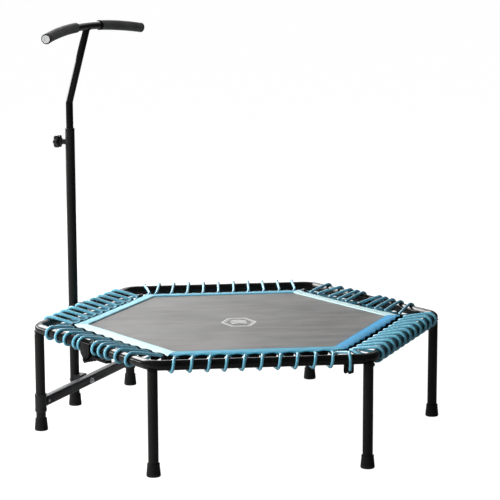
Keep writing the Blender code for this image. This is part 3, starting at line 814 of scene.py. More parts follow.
def add_legs():
    foot = [(0.0006, FOOT_FLOOR), (0.0152, FOOT_FLOOR)] + fillet([
        (0.0154, FOOT_FLOOR), (0.0158, FOOT_HEIGHT), (FOOT_TOP_R - 0.0004, FOOT_HEIGHT),
        (FOOT_TOP_R, FOOT_HEIGHT - 0.0035), (FOOT_TOP_R - 0.0004, FOOT_HEIGHT - 0.005),
        (FOOT_TOP_R + 0.0004, FOOT_HEIGHT - 0.013), (FOOT_BASE_R - 0.0004, 0.0075),
        (FOOT_BASE_R, 0.0025), (FOOT_BASE_R - 0.0012, 0.0), (FOOT_BASE_R - 0.004, 0.0),
        (FOOT_BASE_R - 0.0048, 0.0009), (0.0128, 0.0009), (0.0120, 0.0), (0.0090, 0.0),
        (0.0082, 0.0009), (0.0048, 0.0009), (0.0040, 0.0), (0.0006, 0.0)], 0.0007)
    flange_top = FRAME_Z - TUBE_R - GAP
    tube_top = flange_top - FLANGE - GAP
    tube = fillet([
        (TUBE_R, FOOT_FLOOR + GAP), (TUBE_R, tube_top), (STUD_R + 0.0005, tube_top),
        (STUD_R + 0.0005, tube_top - 0.025), (TUBE_BORE, tube_top - 0.029),
        (TUBE_BORE, FOOT_FLOOR + GAP)], 0.0008, True)
    stud = [(STUD_R - 0.002, STUD_BOTTOM_Z)]
    stud += thread(STUD_R, 0.0007, 0.0006, 0.00125, STUD_BOTTOM_Z + 0.002, tube_top - 0.002)
    stud += [(STUD_R - 0.0004, flange_top - FLANGE), (0.0141, flange_top - FLANGE),
             (0.0145, flange_top - 0.0026), (0.0145, flange_top)]
    for corner, degrees in CORNERS.items():
        body, base = CORNER_BODY[corner], direction(degrees) * LEG_RING_R
        for label, key, node, profile, sides, closed in (
                ("leg_shell_", "satin", "leg_tube_", tube, 40, True),
                ("foot_shell_", "rubber", "leg_foot_", foot, 48, False),
                ("stud_shell_", "satin", "leg_stud_", stud, 32, False)):
            turned(label + corner, key, body, [node + corner], base, UP, profile, sides, closed)
        add_weld("leg_weld_" + corner, base, degrees, body)


def add_weld(name, base, degrees, body):
    """Weld bead where a leg's flange meets the underside of the frame tube."""
    rings = []
    reach, bead_r = 0.0142, 0.0018
    out = direction(degrees)
    for angle in even(math.tau, 72)[:-1]:
        spoke = Vector((math.cos(angle), math.sin(angle), 0))
        ripple = 1.0 + 0.22 * math.sin(angle * 26) + 0.25 * noise.noise(spoke * 3 + base * 9)
        across = min(abs(spoke.dot(out) * reach), TUBE_R * 0.72)
        under = FRAME_Z - math.sqrt(TUBE_R ** 2 - across ** 2)
        centre = base + spoke * reach + UP * (under - 0.0002)
        rings.append(circle(centre, spoke, UP, bead_r * ripple, 8))
    bead = Builder()
    add_loft(bead, rings, closed_loop=True)
    finish_piece(bead, name, "satin", body, sharp=60)


def add_brace_and_post():
    ring_r = LEG_RING_R * COS30
    half = LEG_RING_R / 2 - SLEEVE_R - GAP
    rear = "rear_frame"
    softened("brace_tube", "brace_shell", "brace", rear, 0.0006)
    softened("frame_saddle", "frame_saddle_shell", "plastic", rear, 0.0008)
    softened("brace_saddle", "brace_saddle_shell", "plastic", rear, 0.0008)
    low, high = SLEEVE_Z
    sleeve = fillet([
        (SLEEVE_R - 0.0014, low), (SLEEVE_R, low + 0.004), (SLEEVE_R, low + 0.010),
        (SLEEVE_R - 0.0006, low + 0.011), (SLEEVE_R - 0.0006, high - 0.011),
        (SLEEVE_R, high - 0.010), (SLEEVE_R, high - 0.001), (SLEEVE_R - 0.001, high),
        (SLEEVE_BORE, high), (SLEEVE_BORE, low)], 0.0006, True)
    screw = [(0.0048, -0.001), (0.0048, 0.0008), (0.0048 * 0.86, 0.0021), (0.0048 * 0.55, 0.0028),
             (0.0002, 0.0030)]
    for corner, toward in (("left", 1), ("back_left", -1)):
        turned("sleeve_shell_" + corner, "plastic", rear, ["brace_sleeve_" + corner],
               direction(CORNERS[corner]) * LEG_RING_R, UP, sleeve, 48, True)
        centre = (POST_OUT * (ring_r - BRACE_DEPTH / 2) - POST_ALONG * toward * (half - 0.012)
                  + UP * BRACE_Z)
        turned("brace_end_screw_" + corner, "zinc", rear, (), centre, -POST_OUT, screw, 32)

    base = POST_OUT * POST_RING_R
    turned("post_shell", "satin", rear, ["handle_post"], base, UP, fillet([
        (TUBE_R, FOOT_FLOOR + GAP), (TUBE_R, POST_TOP_Z), (TUBE_BORE, POST_TOP_Z),
        (TUBE_BORE, FOOT_FLOOR + GAP)], 0.0004, True), 48, True)
    turned("post_foot_shell", "rubber", rear, ["post_foot"], base, UP, fillet([
        (0.0006, FOOT_FLOOR), (0.0154, FOOT_FLOOR), (0.0158, FOOT_HEIGHT),
        (FOOT_TOP_R - 0.0004, FOOT_HEIGHT), (FOOT_TOP_R, FOOT_HEIGHT - 0.0035),
        (FOOT_TOP_R + 0.0004, FOOT_HEIGHT - 0.013), (FOOT_BASE_R, 0.0025),
        (FOOT_BASE_R - 0.0012, 0.0), (0.0006, 0.0)], 0.0008), 48)
    flange = POST_TOP_Z + GAP
    turned("bushing_shell", "plastic", rear, ["post_bushing"], base, UP, fillet([
        (STEM_R + 0.0003, flange - 0.021), (STEM_R + 0.0003, flange + 0.003),
        (TUBE_R - 0.0004, flange + 0.003), (TUBE_R + 0.0004, flange + 0.002),
        (TUBE_R + 0.0004, flange), (0.0129, flange), (0.0129, flange - 0.021)], 0.0006, True),
        48, True)
    turned("knob_boss_shell", "satin", rear, ["knob_boss"], base + UP * KNOB_Z, POST_OUT, fillet([
        (0.0044, TUBE_R - 0.003), (0.0092, TUBE_R - 0.003), (0.0088, 0.0262), (0.0044, 0.0262)],
        0.0008, True), 40, True)
    for label, height, inner in (("frame", FRAME_Z, APOTHEM - TUBE_R - POST_RING_R),
                                 ("brace", BRACE_Z, ring_r - BRACE_DEPTH / 2 - POST_RING_R)):
        add_post_bolt(label, base + UP * height, inner)


def add_post_bolt(label, place, inner):
    """Carriage bolt: domed head outside the post, and washer and hex nut inside."""
    bolt = Builder()
    add_turning(bolt, place, POST_OUT, [
        (0.0026, inner - 0.0115), (0.0034, inner - 0.0107), (0.0039, inner - 0.0100),
        (0.0039, TUBE_R - 0.001), (0.0078, TUBE_R - 0.001), (0.0078, TUBE_R + 0.0006),
        (0.0066, TUBE_R + 0.0030), (0.0042, TUBE_R + 0.0045), (0.0003, TUBE_R + 0.0050)], 40)
    add_turning(bolt, place, POST_OUT, [
        (0.0041, inner - 0.0014), (0.0086, inner - 0.0014), (0.0088, inner - 0.0011),
        (0.0088, inner - 0.0001), (0.0041, inner - 0.0001)], 40)
    face, near = inner - 0.0084, inner - 0.0014
    flats = [(0.0060, face), (0.0075, face + 0.0010), (0.0075, near - 0.0003), (0.0070, near)]

    def nut(angle, k):
        return hex_shape(angle) if k in (1, 2) else 1.0

    add_turning(bolt, place, POST_OUT, flats, 48, shape=nut)
    finish_piece(bolt, label + "_bolt_shell", "zinc", "rear_frame", [label + "_bolt"], 25)


# The fold hinges.

def add_hinges():
    end = 0.0187
    half = [(0.0064, end), (0.0065, end + 0.0012), (0.0056, end + 0.0030),
            (0.0034, end + 0.0041), (0.0003, end + 0.0045)]
    rivet = [(r, -a) for r, a in half[::-1]] + [(0.0040, -end), (0.0040, end)] + half
    plug = fillet([(0.0002, 0.0), (0.0120, 0.0), (TUBE_BORE - 0.0001, 0.0012),
                   (TUBE_BORE - 0.0001, 0.012), (0.0110, 0.012), (0.0002, 0.012)], 0.0006)
    for side, degrees in (("left", FRONT_LEFT), ("right", BACK_RIGHT)):
        softened("hinge_cheeks_" + side, "cheeks_shell_" + side, "plate", "rear_frame", 0.0005)
        softened("hinge_tongue_" + side, "tongue_shell_" + side, "plate", "front_frame", 0.0008)
        out = direction(degrees)
        pivot = out * APOTHEM - FORWARD * PIVOT_BACK + UP * PIVOT_Z
        turned("hinge_rivet_" + side, "plate", "rear_frame", ["hinge_pin_" + side], pivot, out,
               rivet, 36, slot="zinc_steel")
        for label, sign in (("rear", -1), ("front", 1)):
            face = out * APOTHEM + FORWARD * (sign * 0.003) + UP * FRAME_Z
            turned("tube_plug_" + side + "_" + label, "plastic", label + "_frame", (), face,
                   FORWARD * sign, plug, 36)


# The mat.

WRAP_PITCH = 0.0504
LOOP_WIDTH = 0.011
LOOP_MOUTH = 0.0200       # from the mat's edge to where a strand enters and leaves its loop
LOOP_DEEP = 0.0168        # and to the strand's middle, inside the loop
LOOP_IN = 0.0246          # and to just past the outer end of the loop
LOOP_TILT = 0.0100        # how much lower a strand leaves its loop than it enters
STRAP_THICK = 0.0011
STRAP_NEAR = 0.0022       # how far past the strand's entry a strap starts, at the loop
STRAP_BACK = 0.0060       # and how much further back at its root
STRAP_SPREAD = 0.033      # how much wider a strap is at its root, at most
STRAP_SPACE = 0.005       # what it leaves before the next strap
STRAP_PITCH = 0.03        # taken as the next strap's distance when there is none
FULL_SIDE = [(i - 5) * WRAP_PITCH for i in range(11)]
POST_SIDE = [(i - 4.5) * WRAP_PITCH for i in range(10)]

# For each run of cord: the side, the body, the way the lacing goes (1 is anticlockwise), the
# places of its wraps in lacing order, and the places where each wrap's top strand meets the mat.
RUNS = {
    "front": (FRONT, "front_frame", 1, FULL_SIDE, [w + 0.015 for w in FULL_SIDE[:-1]]),
    "front_right": (FRONT_RIGHT, "front_frame", 1, FULL_SIDE,
                    [0.95 * w + 0.004 for w in FULL_SIDE]),
    "back": (BACK, "rear_frame", 1, FULL_SIDE,
             [1.032 * w + 0.0145 for w in FULL_SIDE[:-1]] + [FULL_SIDE[-1] - 0.006]),
    "back_left": (BACK_LEFT, "rear_frame", 1, POST_SIDE, [w + 0.006 for w in POST_SIDE]),
    "left_rear": (FRONT_LEFT, "rear_frame", 1, [-0.2236, -0.1718, -0.1214, -0.0716, -0.0445],
                  [-0.2360, -0.1830, -0.1270, -0.0760, -0.0280]),
    "left_front": (FRONT_LEFT, "front_frame", 1, [0.0345, 0.0670, 0.1055, 0.1580, 0.2120],
                   [0.0260, 0.0630, 0.1150, 0.1800, 0.2450]),
    "right_rear": (BACK_RIGHT, "rear_frame", -1, [0.2270, 0.1640, 0.1120, 0.0765, 0.0455],
                   [0.2150, 0.1760, 0.1160, 0.0700, 0.0290]),
    "right_front": (BACK_RIGHT, "front_frame", -1, [-0.0345, -0.0660, -0.1010, -0.1390, -0.1900],
                    [-0.0310, -0.0760, -0.1180, -0.1650, -0.2330]),
}
SIDE_RUNS = {FRONT: ("front",), FRONT_RIGHT: ("front_right",), BACK: ("back",),
             BACK_LEFT: ("back_left",), FRONT_LEFT: ("left_rear", "left_front"),
             BACK_RIGHT: ("right_rear", "right_front")}
SIDE_NAMES = {FRONT: "front", FRONT_RIGHT: "front_right", BACK_RIGHT: "back_right", BACK: "back",
              BACK_LEFT: "back_left", FRONT_LEFT: "front_left"}

PULL_OUT = 0.0016
PULL_DOWN = 0.0014
PULL_REACH = 0.025        # how far along the edge a loop's pull is felt
SIDE_SAG = 0.0030         # how far the middle of a side hangs below its corners
BED_SHARE = 0.994         # the fabric's edge lies just inside the border's
BED_COLUMNS = 64
BED_HALF_THICK = 0.0008
BORDER_STEPS = 132


def loop_middles(degrees):
    """Where the webbing loops sit along one side of the mat, with the body each one follows."""
    found = []
    for run in SIDE_RUNS[degrees]:
        _, body, way, _, ends = RUNS[run]
        found += [(end + way * LOOP_WIDTH / 2, body, way) for end in ends]
    return sorted(found)


def edge_pull(degrees, sideways):
    """How far the mat's edge is drawn out at this place: most at each loop, least between."""
    nearest = min(abs(sideways - loop[0]) for loop in loop_middles(degrees))
    return math.cos(min(nearest / PULL_REACH, 1.0) * math.pi)


def edge_drop(degrees, sideways):
    """How far the mat's edge sits below its plane at this place."""
    across = min(abs(sideways) / (MAT_CORNER_R / 2), 1.0)
    return PULL_DOWN * edge_pull(degrees, sideways) + SIDE_SAG * (1 - across ** 2)


def bendy(piece):
    """Bakes the placement of a piece of the mat into its mesh."""
    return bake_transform(piece)


def mat_rows():
    """Forward distances of the rows of the mat's mesh, close together at the fold."""
    reach = MAT_CORNER_R
    rows = [-reach + 0.0002]
    t = -reach
    while t < reach - 0.0001:
        step = 0.003 if -0.030 < t < 0.050 else 0.016
        t = min(t + step, reach)
        rows.append(t if t < reach else reach - 0.0002)
    return rows


def add_mat_bed():
    """The jumping surface: one hexagon of fabric, finely divided where it bends."""
    rows, wide = mat_rows(), BED_COLUMNS + 1
    top, bottom = [], []
    for t in rows:
        half = min(MAT_APOTHEM, (MAT_CORNER_R - abs(t)) * math.sqrt(3))
        for i in range(wide):
            p = (FOLD_LINE * (half * (2 * i / BED_COLUMNS - 1)) + FORWARD * t) * BED_SHARE
            top.append(p + UP * (MAT_Z + BED_HALF_THICK + bed_height(p)))
            bottom.append(p + UP * (MAT_Z - BED_HALF_THICK + bed_height(p)))
    points, count = top + bottom, len(top)
    faces = []
    for k in range(len(rows) - 1):
        for a in range(k * wide, k * wide + BED_COLUMNS):
            quad = (a, a + 1, a + wide + 1, a + wide)
            faces += [quad, tuple(count + q for q in quad[::-1])]
    rim = list(range(wide)) + [k * wide + BED_COLUMNS for k in range(1, len(rows))]
    rim += [(len(rows) - 1) * wide + i for i in range(BED_COLUMNS - 1, -1, -1)]
    rim += [k * wide for k in range(len(rows) - 2, 0, -1)]
    faces += [(a, a + count, b + count, b) for a, b in zip(rim, rim[1:] + rim[:1])]
    bed = Builder()
    bed.add(points, faces, [[(points[q].x, points[q].y) for q in face] for face in faces])
    piece = bed.make("mat_bed", "mat", 60)
    return piece


def bed_height(point):
    """Small slow ripples of the stretched fabric, and the drop of its edge under the border."""
    degrees = max(SIDE_NAMES, key=lambda side: point.dot(direction(side)))
    out = point.dot(direction(degrees))
    calm = max(0.0, 1.0 - out / MAT_APOTHEM) ** 0.5
    share = max(0.0, (out - MAT_APOTHEM + BORDER_WIDTH) / BORDER_WIDTH)
    drop = edge_drop(degrees, point.dot(direction(degrees + 90))) * share ** 3
    ripple = noise.noise(Vector((point.x * 5, point.y * 5, 0.3)))
    return -drop - 0.0025 * calm + 0.0005 * calm * ripple


def border_ring(degrees, sideways_share):
    """One cross section of a side's border, from its inner edge round the mat's edge and back."""
    place = side_place(degrees)
    inner, outer = MAT_APOTHEM - BORDER_WIDTH, MAT_APOTHEM
    top, bottom = MAT_Z + BORDER_TOP, MAT_Z - 0.0012
    points = []
    stations = [(inner, top - 0.0008), (inner + 0.0008, top), (inner + 0.004, top - 0.0002),
                (inner + 0.010, top + 0.0002), (inner + 0.019, top + 0.0003),
                (outer - 0.010, top + 0.0002), (outer - 0.004, top - 0.0004),
                (outer - 0.0012, top - 0.0008), (outer, top - 0.0014), (outer, bottom + 0.0006),
                (outer - 0.0012, bottom), (outer - 0.010, bottom), (inner + 0.010, bottom - 0.0006),
                (inner + 0.0008, bottom - 0.0006), (inner, bottom + 0.0004)]
    for a, z in stations:
        sideways = sideways_share * a * TAN30 * 0.9994
        share = max(0.0, (a - inner) / BORDER_WIDTH)
        pull = edge_pull(degrees, sideways) * share ** 3
        drop = edge_drop(degrees, sideways) * share ** 3
        lift = 0.0005 * noise.noise(Vector((sideways * 22, degrees, a * 30)))
        points.append(place(a + pull * PULL_OUT, sideways,
                            z + lift * math.sin(math.pi * min(share, 1.0)) - drop))
    return points


def add_border(degrees, key):
    rings = [border_ring(degrees, share - 1) for share in even(2, BORDER_STEPS)]
    band = Builder()
    rings_to_faces(band, rings, even(MAT_CORNER_R, BORDER_STEPS),
                   distances(rings[0] + rings[0][:1]))
    return band.make("border_" + SIDE_NAMES[degrees], key, 50)


def add_stitches(name, degrees, rows, key):
    """Lock stitches: short raised strokes in line."""
    place = side_place(degrees)
    pitch, length, half, rise = 0.0048, 0.0036, 0.00042, 0.0005
    stitches = Builder()
    for inset, top in rows:
        a = MAT_APOTHEM - inset
        reach = a * TAN30 - 0.003
        count = int(2 * reach / pitch)
        for i in range(count):
            middle = (i + 0.5) * pitch - count * pitch / 2
            rings = []
            for along, height in ((-0.5, 0.0), (-0.28, 0.9), (0.0, 1.15), (0.28, 0.9), (0.5, 0.0)):
                s = middle + along * length
                z = top + height * rise
                share = max(0.0, 1 - inset / BORDER_WIDTH) ** 3
                out = a + edge_pull(degrees, s) * share * PULL_OUT
                z -= edge_drop(degrees, s) * share
                rings.append([place(out - half, s, z - 0.0004), place(out + half, s, z - 0.0004),
                              place(out + half * 0.5, s, z), place(out - half * 0.5, s, z)])
            add_loft(stitches, rings)
    return stitches.make(name, key, 60)


def add_webbing_loops(degrees, body):
    """Folded straps sewn under the border, each with the cord passing through its bight."""
    place = side_place(degrees)
    loops = Builder()
    thick = STRAP_THICK
    centre, turn_r = MAT_APOTHEM + LOOP_DEEP, CORD_R + 0.0012
    inner_line = [(MAT_APOTHEM - 0.008, MAT_Z - 0.0022), (MAT_APOTHEM + 0.001, MAT_Z - 0.0014),
                  (MAT_APOTHEM + 0.0055, MAT_Z + 0.0012)]
    for k in range(9):
        turn = math.radians(112 - 28 * k)
        inner_line.append((centre + (turn_r - thick / 2) * math.cos(turn),
                           MAT_Z - 0.0008 + (turn_r - thick / 2) * math.sin(turn)))
    inner_line += [(MAT_APOTHEM, MAT_Z - 0.0062), (MAT_APOTHEM - 0.008, MAT_Z - 0.0056)]
    spine = smooth_path([Vector((a, 0, z)) for a, z in inner_line], 0.0016)
    middles = loop_middles(degrees)
    taper = 2 if degrees == FRONT else 1
    for middle, owner, way in middles:
        if owner != body:
            continue
        entry = middle - way * LOOP_WIDTH / 2
        gaps = (way * (other[0] - middle) for other in middles)
        ahead = min((gap for gap in gaps if gap > 0.001), default=STRAP_PITCH)
        spread = min(STRAP_SPREAD, ahead - LOOP_WIDTH - STRAP_SPACE)
        sag = edge_drop(degrees, middle)
        skew = rng.uniform(-0.0008, 0.0008)
        rings = []
        for k, point in enumerate(spine):
            before, after = spine[max(k - 1, 0)], spine[min(k + 1, len(spine) - 1)]
            along = (after - before).normalized()
            normal = Vector((-along.z, 0, along.x)) * thick / 2
            reach = min(max((point.x - MAT_APOTHEM) / LOOP_IN, 0.0), 1.0)
            near = entry + way * (STRAP_NEAR - STRAP_BACK * (1 - reach)) + skew
            far = entry + way * (LOOP_WIDTH + spread * (1 - reach) ** taper) + skew
            ring = []
            for sideways, n in ((near, -1), (far, -1), (far, 1), (near, 1)):
                p = point + normal * n
                drop = LOOP_TILT * abs(sideways - entry) / LOOP_WIDTH * reach
                ring.append(place(p.x, sideways, p.z - drop - sag))
            rings.append(ring)
        add_loft(loops, rings)
    return finish_piece(loops, "webbing_loops_" + SIDE_NAMES[degrees] + "_" + body, "webbing", body,
                        sharp=30)


def add_hem(degrees):
    """Black hem tape that shows as a line under the blue border's outer edge; its strip reaching
    past that edge also stands as painted shade under it.
    """
    place = side_place(degrees)
    lip = MAT_APOTHEM + (0.0042 if degrees == FRONT else 0.0066)
    rings = []
    for step in even(2, BORDER_STEPS):
        share = step - 1
        ring = []
        for a, z in ((MAT_APOTHEM - 0.004, MAT_Z - 0.0050), (lip - 0.0012, MAT_Z - 0.0046),
                     (lip, MAT_Z - 0.0030), (lip - 0.0014, MAT_Z - 0.0014),
                     (MAT_APOTHEM - 0.004, MAT_Z - 0.0016)):
            sideways = share * a * TAN30 * 0.999
            follow = 1.0 if a > MAT_APOTHEM else 0.8
            pull = edge_pull(degrees, sideways) * follow
            ring.append(place(a + pull * PULL_OUT * 1.5, sideways,
                              z - edge_drop(degrees, sideways)))
        rings.append(ring)
    hem = Builder()
    add_loft(hem, rings)
    return hem.make("hem_" + SIDE_NAMES[degrees], "webbing", 50)


def add_mark():
    """A plain printed mark: a hexagon outline with three bars."""
    centre = Vector((-0.002, -0.017, 0))
    top = MAT_Z + 0.0014
    mark = Builder()

    def strip(start, end, half, steps=14):
        along = (end - start).normalized()
        side = Vector((-along.y, along.x, 0)) * half
        rings = []
        for i in range(steps + 1):
            p = start.lerp(end, i / steps) + centre
            z = bed_height(p)
            rings.append([p - side + UP * (top - 0.0006 + z), p + side + UP * (top - 0.0006 + z),
                          p + side + UP * (top - 0.0004 + z), p - side + UP * (top - 0.0004 + z)])
        add_loft(mark, rings)

    for radius, half in ((0.062, 0.0022), (0.052, 0.0009)):
        corners = [Vector((radius * 0.86 * math.cos(math.radians(60 * k)),
                           radius * 1.1 * math.sin(math.radians(60 * k)), 0)) for k in range(7)]
        for a, b in zip(corners, corners[1:]):
            strip(a, b, half)
    for offset in (-0.018, 0.0, 0.018):
        peak = Vector((0.0, offset + 0.012, 0))
        strip(Vector((-0.024, offset, 0)), peak, 0.0036, 6)
        strip(peak, Vector((0.024, offset, 0)), 0.0036, 6)
    return mark.make("mat_mark", "print", 60)


def add_mat():
    bed = add_mat_bed()
    # One blue tape all round: each side's tone paints the sheen and shade that side gets from the
    # back-left light.
    painted_sheen_tones = {FRONT: "border_near", FRONT_RIGHT: "border_deep", BACK_RIGHT: "border_pale",
             BACK: "border_mid", BACK_LEFT: "border_light", FRONT_LEFT: "border_pale"}
    owner = {FRONT: "front_frame", FRONT_RIGHT: "front_frame", BACK: "rear_frame",
             BACK_LEFT: "rear_frame"}
    for degrees, tone in painted_sheen_tones.items():
        name = SIDE_NAMES[degrees]
        border = add_border(degrees, tone)
        hem = add_hem(degrees)
        # The inner row is real stitching whose dark thread also paints the shade line at the
        # border's inner edge.
        inner = add_stitches("stitches_inner_" + name, degrees,
                             [(BORDER_WIDTH - 0.0030, MAT_Z + BORDER_TOP)], "thread_dark_and_painted_shade")
        outer = add_stitches("stitches_outer_" + name, degrees,
                             [(0.0050, MAT_Z + BORDER_TOP - 0.0003),
                              (0.0095, MAT_Z + BORDER_TOP + 0.0002)], "thread_pale")
        for piece, slot in ((border, "blue_border"), (hem, "black_plastic"), (inner, "blue_border"),
                            (outer, "blue_border")):
            if degrees in owner:
                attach(piece, owner[degrees])
            else:
                bendy(piece)
        for body in ("rear_frame", "front_frame"):
            if any(loop[1] == body for loop in loop_middles(degrees)):
                add_webbing_loops(degrees, body)
    bendy(add_mark())
    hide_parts("mat_rear", "mat_front")
    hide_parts("mat_border_rear", "mat_border_front")
    bendy(bed)


# The elastic cords.

WRAP_R = TUBE_R + CORD_R + 0.0002
WRAP_FROM = 97            # degrees from level at which a strand meets and leaves the tube
WRAP_TWIST = 0.0055       # how far sideways a wrap has moved by then
HOOK_FROM = -22           # the same for the front run's end, which drops to the cord anchor
WRAP_JITTER = 0.0016
ENTRY_JITTER = 0.0012
CORD_SPACING = 0.0032     # between the rings of a cord's mesh


def strands(name):
    """The points of one run of cord, in lacing order."""
    degrees, _, way, wraps, ends = RUNS[name]
    place = side_place(degrees)
    path = []

    def through_loop(entry, exit_):
        sag = edge_drop(degrees, (entry + exit_) / 2)
        for share, reach, rise in ((0, LOOP_MOUTH, 0.0022), (0.2, LOOP_DEEP, 0.0),
                                   (0.5, LOOP_DEEP, -0.0030), (0.8, LOOP_DEEP, -0.0062),
                                   (1, LOOP_MOUTH, -0.0095)):
            path.append(place(MAT_APOTHEM + reach, entry + (exit_ - entry) * share,
                              MAT_Z + rise - sag))

    def round_tube(wrap, first, last, twist):
        steps = 15
        for k in range(steps + 1):
            turned = first + (last - first) * k / steps
            a = math.radians(turned)
            sideways = wrap + way * twist * turned / WRAP_FROM
            path.append(place(APOTHEM + WRAP_R * math.cos(a), sideways,
                              FRAME_Z + WRAP_R * math.sin(a)))

    path += [place(*point) for point in lead_in(name)]
    for i, wrap in enumerate(wraps):
        at = wrap + rng.uniform(-WRAP_JITTER, WRAP_JITTER)
        if name == "front" and i == len(wraps) - 1:
            path[-1] = path[-2] + UP * 0.0030
            round_tube(at, WRAP_FROM, HOOK_FROM, -0.001)
            path += [place(APOTHEM + 0.0185, at, 0.3035), place(APOTHEM + 0.0125, at, 0.2935),
                     place(APOTHEM + 0.0075, at, 0.2880)]
            break
        round_tube(at, -WRAP_FROM, WRAP_FROM, WRAP_TWIST)
        entry = ends[i] + rng.uniform(-ENTRY_JITTER, ENTRY_JITTER)
        through_loop(entry, entry + way * LOOP_WIDTH)
    return path


def lead_in(name):
    """The start of a run: the strand that comes to its first wrap from under the mat."""
    _, _, way, wraps, ends = RUNS[name]
    if name == "front":
        return [(APOTHEM - 0.0240, wraps[0] - 0.030, FRAME_Z - 0.0070),
                (APOTHEM - 0.0150, wraps[0] - 0.014, FRAME_Z - 0.0150)]
    if name == "front_right":
        return [(APOTHEM + 0.0035, -0.2925, FRAME_Z - 0.0225),
                (APOTHEM - 0.0105, -0.2890, FRAME_Z - 0.0195),
                (APOTHEM - 0.0300, -0.2800, FRAME_Z - 0.0080),
                (MAT_APOTHEM + LOOP_IN, -0.2560, MAT_Z + 0.0016),
                (MAT_APOTHEM + LOOP_DEEP, -0.2480, MAT_Z),
                (MAT_APOTHEM + LOOP_IN, -0.2400, MAT_Z - 0.0024)]
    first = ends[0] - way * 0.030
    if name in ("left_front", "right_front"):
        first = wraps[0] + way * 0.003
    return [(MAT_APOTHEM + 0.016, first - way * 0.004, MAT_Z - 0.0035),
            (MAT_APOTHEM + 0.026, first, MAT_Z - 0.0045)]


def add_cord_runs():
    clip_radii = [0.0046, 0.0060, 0.0062, 0.0058, 0.0062, 0.0060, 0.0050]
    clip_length, clip_over = 0.0145, 0.0025
    for name, (_, body, _, _, _) in RUNS.items():
        path = smooth_path(strands(name), CORD_SPACING)
        cord = Builder()
        add_sweep(cord, path, CORD_R, 12)
        finish_piece(cord, "cord_run_" + name, "cord", body, ["cord_" + name], 80)
        clips = Builder()
        for end, following in ((path[0], path[3]), (path[-1], path[-4])):
            inward = (following - end).normalized()
            start = end - inward * clip_over
            add_sweep(clips, [start + inward * d for d in even(clip_length, 6)], clip_radii, 20)
        finish_piece(clips, "cord_clips_" + name, "plastic", body)


# The handle.

def bar_point(along):
    share = (along / 0.321) ** 2
    return (POST_OUT * (BAR_RING_R - BAR_SWEEP * share) + POST_ALONG * along
            + UP * (BAR_Z - BAR_DROOP * share))


def add_handle():
    foot = POST_OUT * POST_RING_R + UP * STEM_BOTTOM_Z
    corner = POST_OUT * POST_RING_R + UP * STEM_BEND_Z
    middle = bar_point(0)
    lean = (middle - corner).normalized()
    half_angle = math.acos(lean.dot(UP)) / 2
    reach = STEM_BEND_R * math.tan(half_angle)
    centre = corner - UP * reach - POST_OUT * STEM_BEND_R
    path = [foot, foot.lerp(corner, 0.4), foot.lerp(corner, 0.7)]
    steps = 12
    for angle in even(2 * half_angle, steps):
        path.append(centre + POST_OUT * STEM_BEND_R * math.cos(angle)
                    + UP * STEM_BEND_R * math.sin(angle))
    path += [path[-1].lerp(middle, 0.5), middle - lean * (BAR_R * 0.6)]
    stem = Builder()
    add_hollow_sweep(stem, path, STEM_R, STEM_BORE)
    finish_piece(stem, "stem_shell", "gloss", "handle", ["handle_stem"], 50)
    bar = Builder()
    bar_path = [bar_point(along - BAR_HALF) for along in even(2 * BAR_HALF, 48)]
    add_hollow_sweep(bar, bar_path, BAR_R, BAR_BORE)
    finish_piece(bar, "bar_shell", "gloss", "handle", ["handle_bar"], 50)
    across = POST_ALONG.cross(lean)
    bead = Builder()
    rings = []
    for angle in even(math.tau, 64)[:-1]:
        spoke = across * math.cos(angle) + POST_ALONG * math.sin(angle)
        off = math.cos(angle) * STEM_R * 1.02
        depth = math.sqrt(max(BAR_R ** 2 - off ** 2, 0))
        at = middle + spoke * (STEM_R * 1.05) - lean * (depth + 0.0002)
        ripple = 0.0020 * (1 + 0.2 * math.sin(angle * 22))
        rings.append(circle(at, spoke, lean, ripple, 8))
    add_loft(bead, rings, closed_loop=True)
    finish_piece(bead, "bar_weld", "gloss", "handle", ["bar_saddle"], 60)
    for side, sign in (("left", -1), ("right", 1)):
        add_grip(side, sign)


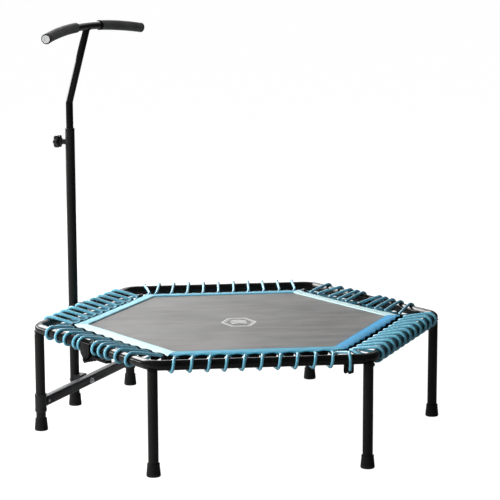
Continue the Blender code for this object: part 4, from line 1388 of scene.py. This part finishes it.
def add_grip(side, sign):
    start, end = GRIP_SPAN
    length, rounding = end - start, 0.0022
    path, radii = [], []
    for share in even(1, 60):
        path.append(bar_point(sign * (start + length * share)))
        edge = min(share, 1 - share) * length
        rounded = math.sqrt(max(0.0, 1 - (1 - min(edge / rounding, 1.0)) ** 2))
        uneven = 0.00012 * noise.noise(Vector((share * 14, sign, 0)))
        swell = 0.0004 * math.sin(math.pi * share) + uneven
        radii.append(GRIP_R - rounding + rounding * rounded + swell)
    grip = Builder()
    add_sweep(grip, path, radii, 48)
    piece = finish_piece(grip, "grip_foam_" + side, "foam", "handle", ["grip_" + side], 50)
    collars = Builder()
    for middle in (start + 0.0004, end + 0.0004):
        outward = (bar_point(sign * (middle + 0.002)) - bar_point(sign * middle)).normalized()
        add_turning(collars, bar_point(sign * middle), outward, fillet([
            (BAR_R + 0.0003, -0.0014), (GRIP_R + 0.0004, -0.0014), (GRIP_R + 0.0004, 0.0014),
            (BAR_R + 0.0003, 0.0014)], 0.0004, closed=True), 40, closed=True)
    finish_piece(collars, "grip_collars_" + side, "plastic", "handle")
    tip = bar_point(sign * BAR_HALF)
    outward = (tip - bar_point(sign * (BAR_HALF - 0.01))).normalized()
    turned("plug_shell_" + side, "grey", "handle", ["end_plug_" + side], tip, outward,
           [(0.0103, -0.012), (0.0103, 0.0002)] + fillet([
               (0.0103, 0.0002), (0.0124, 0.0002), (0.0124, 0.0014), (0.0112, 0.0024),
               (0.0070, 0.0024), (0.0062, 0.0018), (0.0003, 0.0018)], 0.0005), 40)


def add_knob():
    place = POST_OUT * POST_RING_R + UP * KNOB_Z
    profile = fillet([(0.0004, KNOB_NEAR), (0.0100, KNOB_NEAR), (0.0108, KNOB_NEAR + 0.0065),
                      (KNOB_R - 0.0012, KNOB_NEAR + 0.0085), (KNOB_R, KNOB_NEAR + 0.0105),
                      (KNOB_R, KNOB_FAR - 0.0040), (KNOB_R - 0.0025, KNOB_FAR - 0.0008),
                      (0.0130, KNOB_FAR), (0.0118, KNOB_FAR - 0.0012), (0.0004, KNOB_FAR - 0.0012)],
                     0.0014)

    def lobes(angle, k):
        radius, along = profile[k]
        share = min(max((radius - 0.0125) / 0.005, 0.0), 1.0)
        share *= min(max((along - KNOB_NEAR - 0.006) / 0.004, 0.0), 1.0)
        return 1.0 + share * KNOB_LOBE / KNOB_R * math.cos(KNOB_LOBES * angle)

    head = Builder()
    add_turning(head, place, POST_OUT, profile, 96, shape=lobes)
    finish_piece(head, "knob_shell", "plastic", "knob", ["knob_head"], 30)
    screw = [(0.0030, STEM_R + 0.0004)]
    screw += thread(0.0041, 0.0005, 0.0005, 0.0010, STEM_R + 0.0015, KNOB_NEAR - 0.001)
    screw.append((0.0041, KNOB_NEAR - 0.0002))
    turned("knob_screw_shell", "zinc", "knob", ["knob_screw"], place, POST_OUT, screw, 28)


def main():
    add_studio()
    frame_half("frame_rear_shell", "rear_frame_tube", "rear_frame", (60, 120, 180), -1)
    frame_half("frame_front_shell", "front_frame_tube", "front_frame", (240, 300, 360), 1)
    add_legs()
    add_brace_and_post()
    add_hinges()
    softened("cord_anchor", "cord_anchor_shell", "satin", "front_frame", 0.0008)
    add_cord_runs()
    add_mat()
    add_handle()
    add_knob()


main()
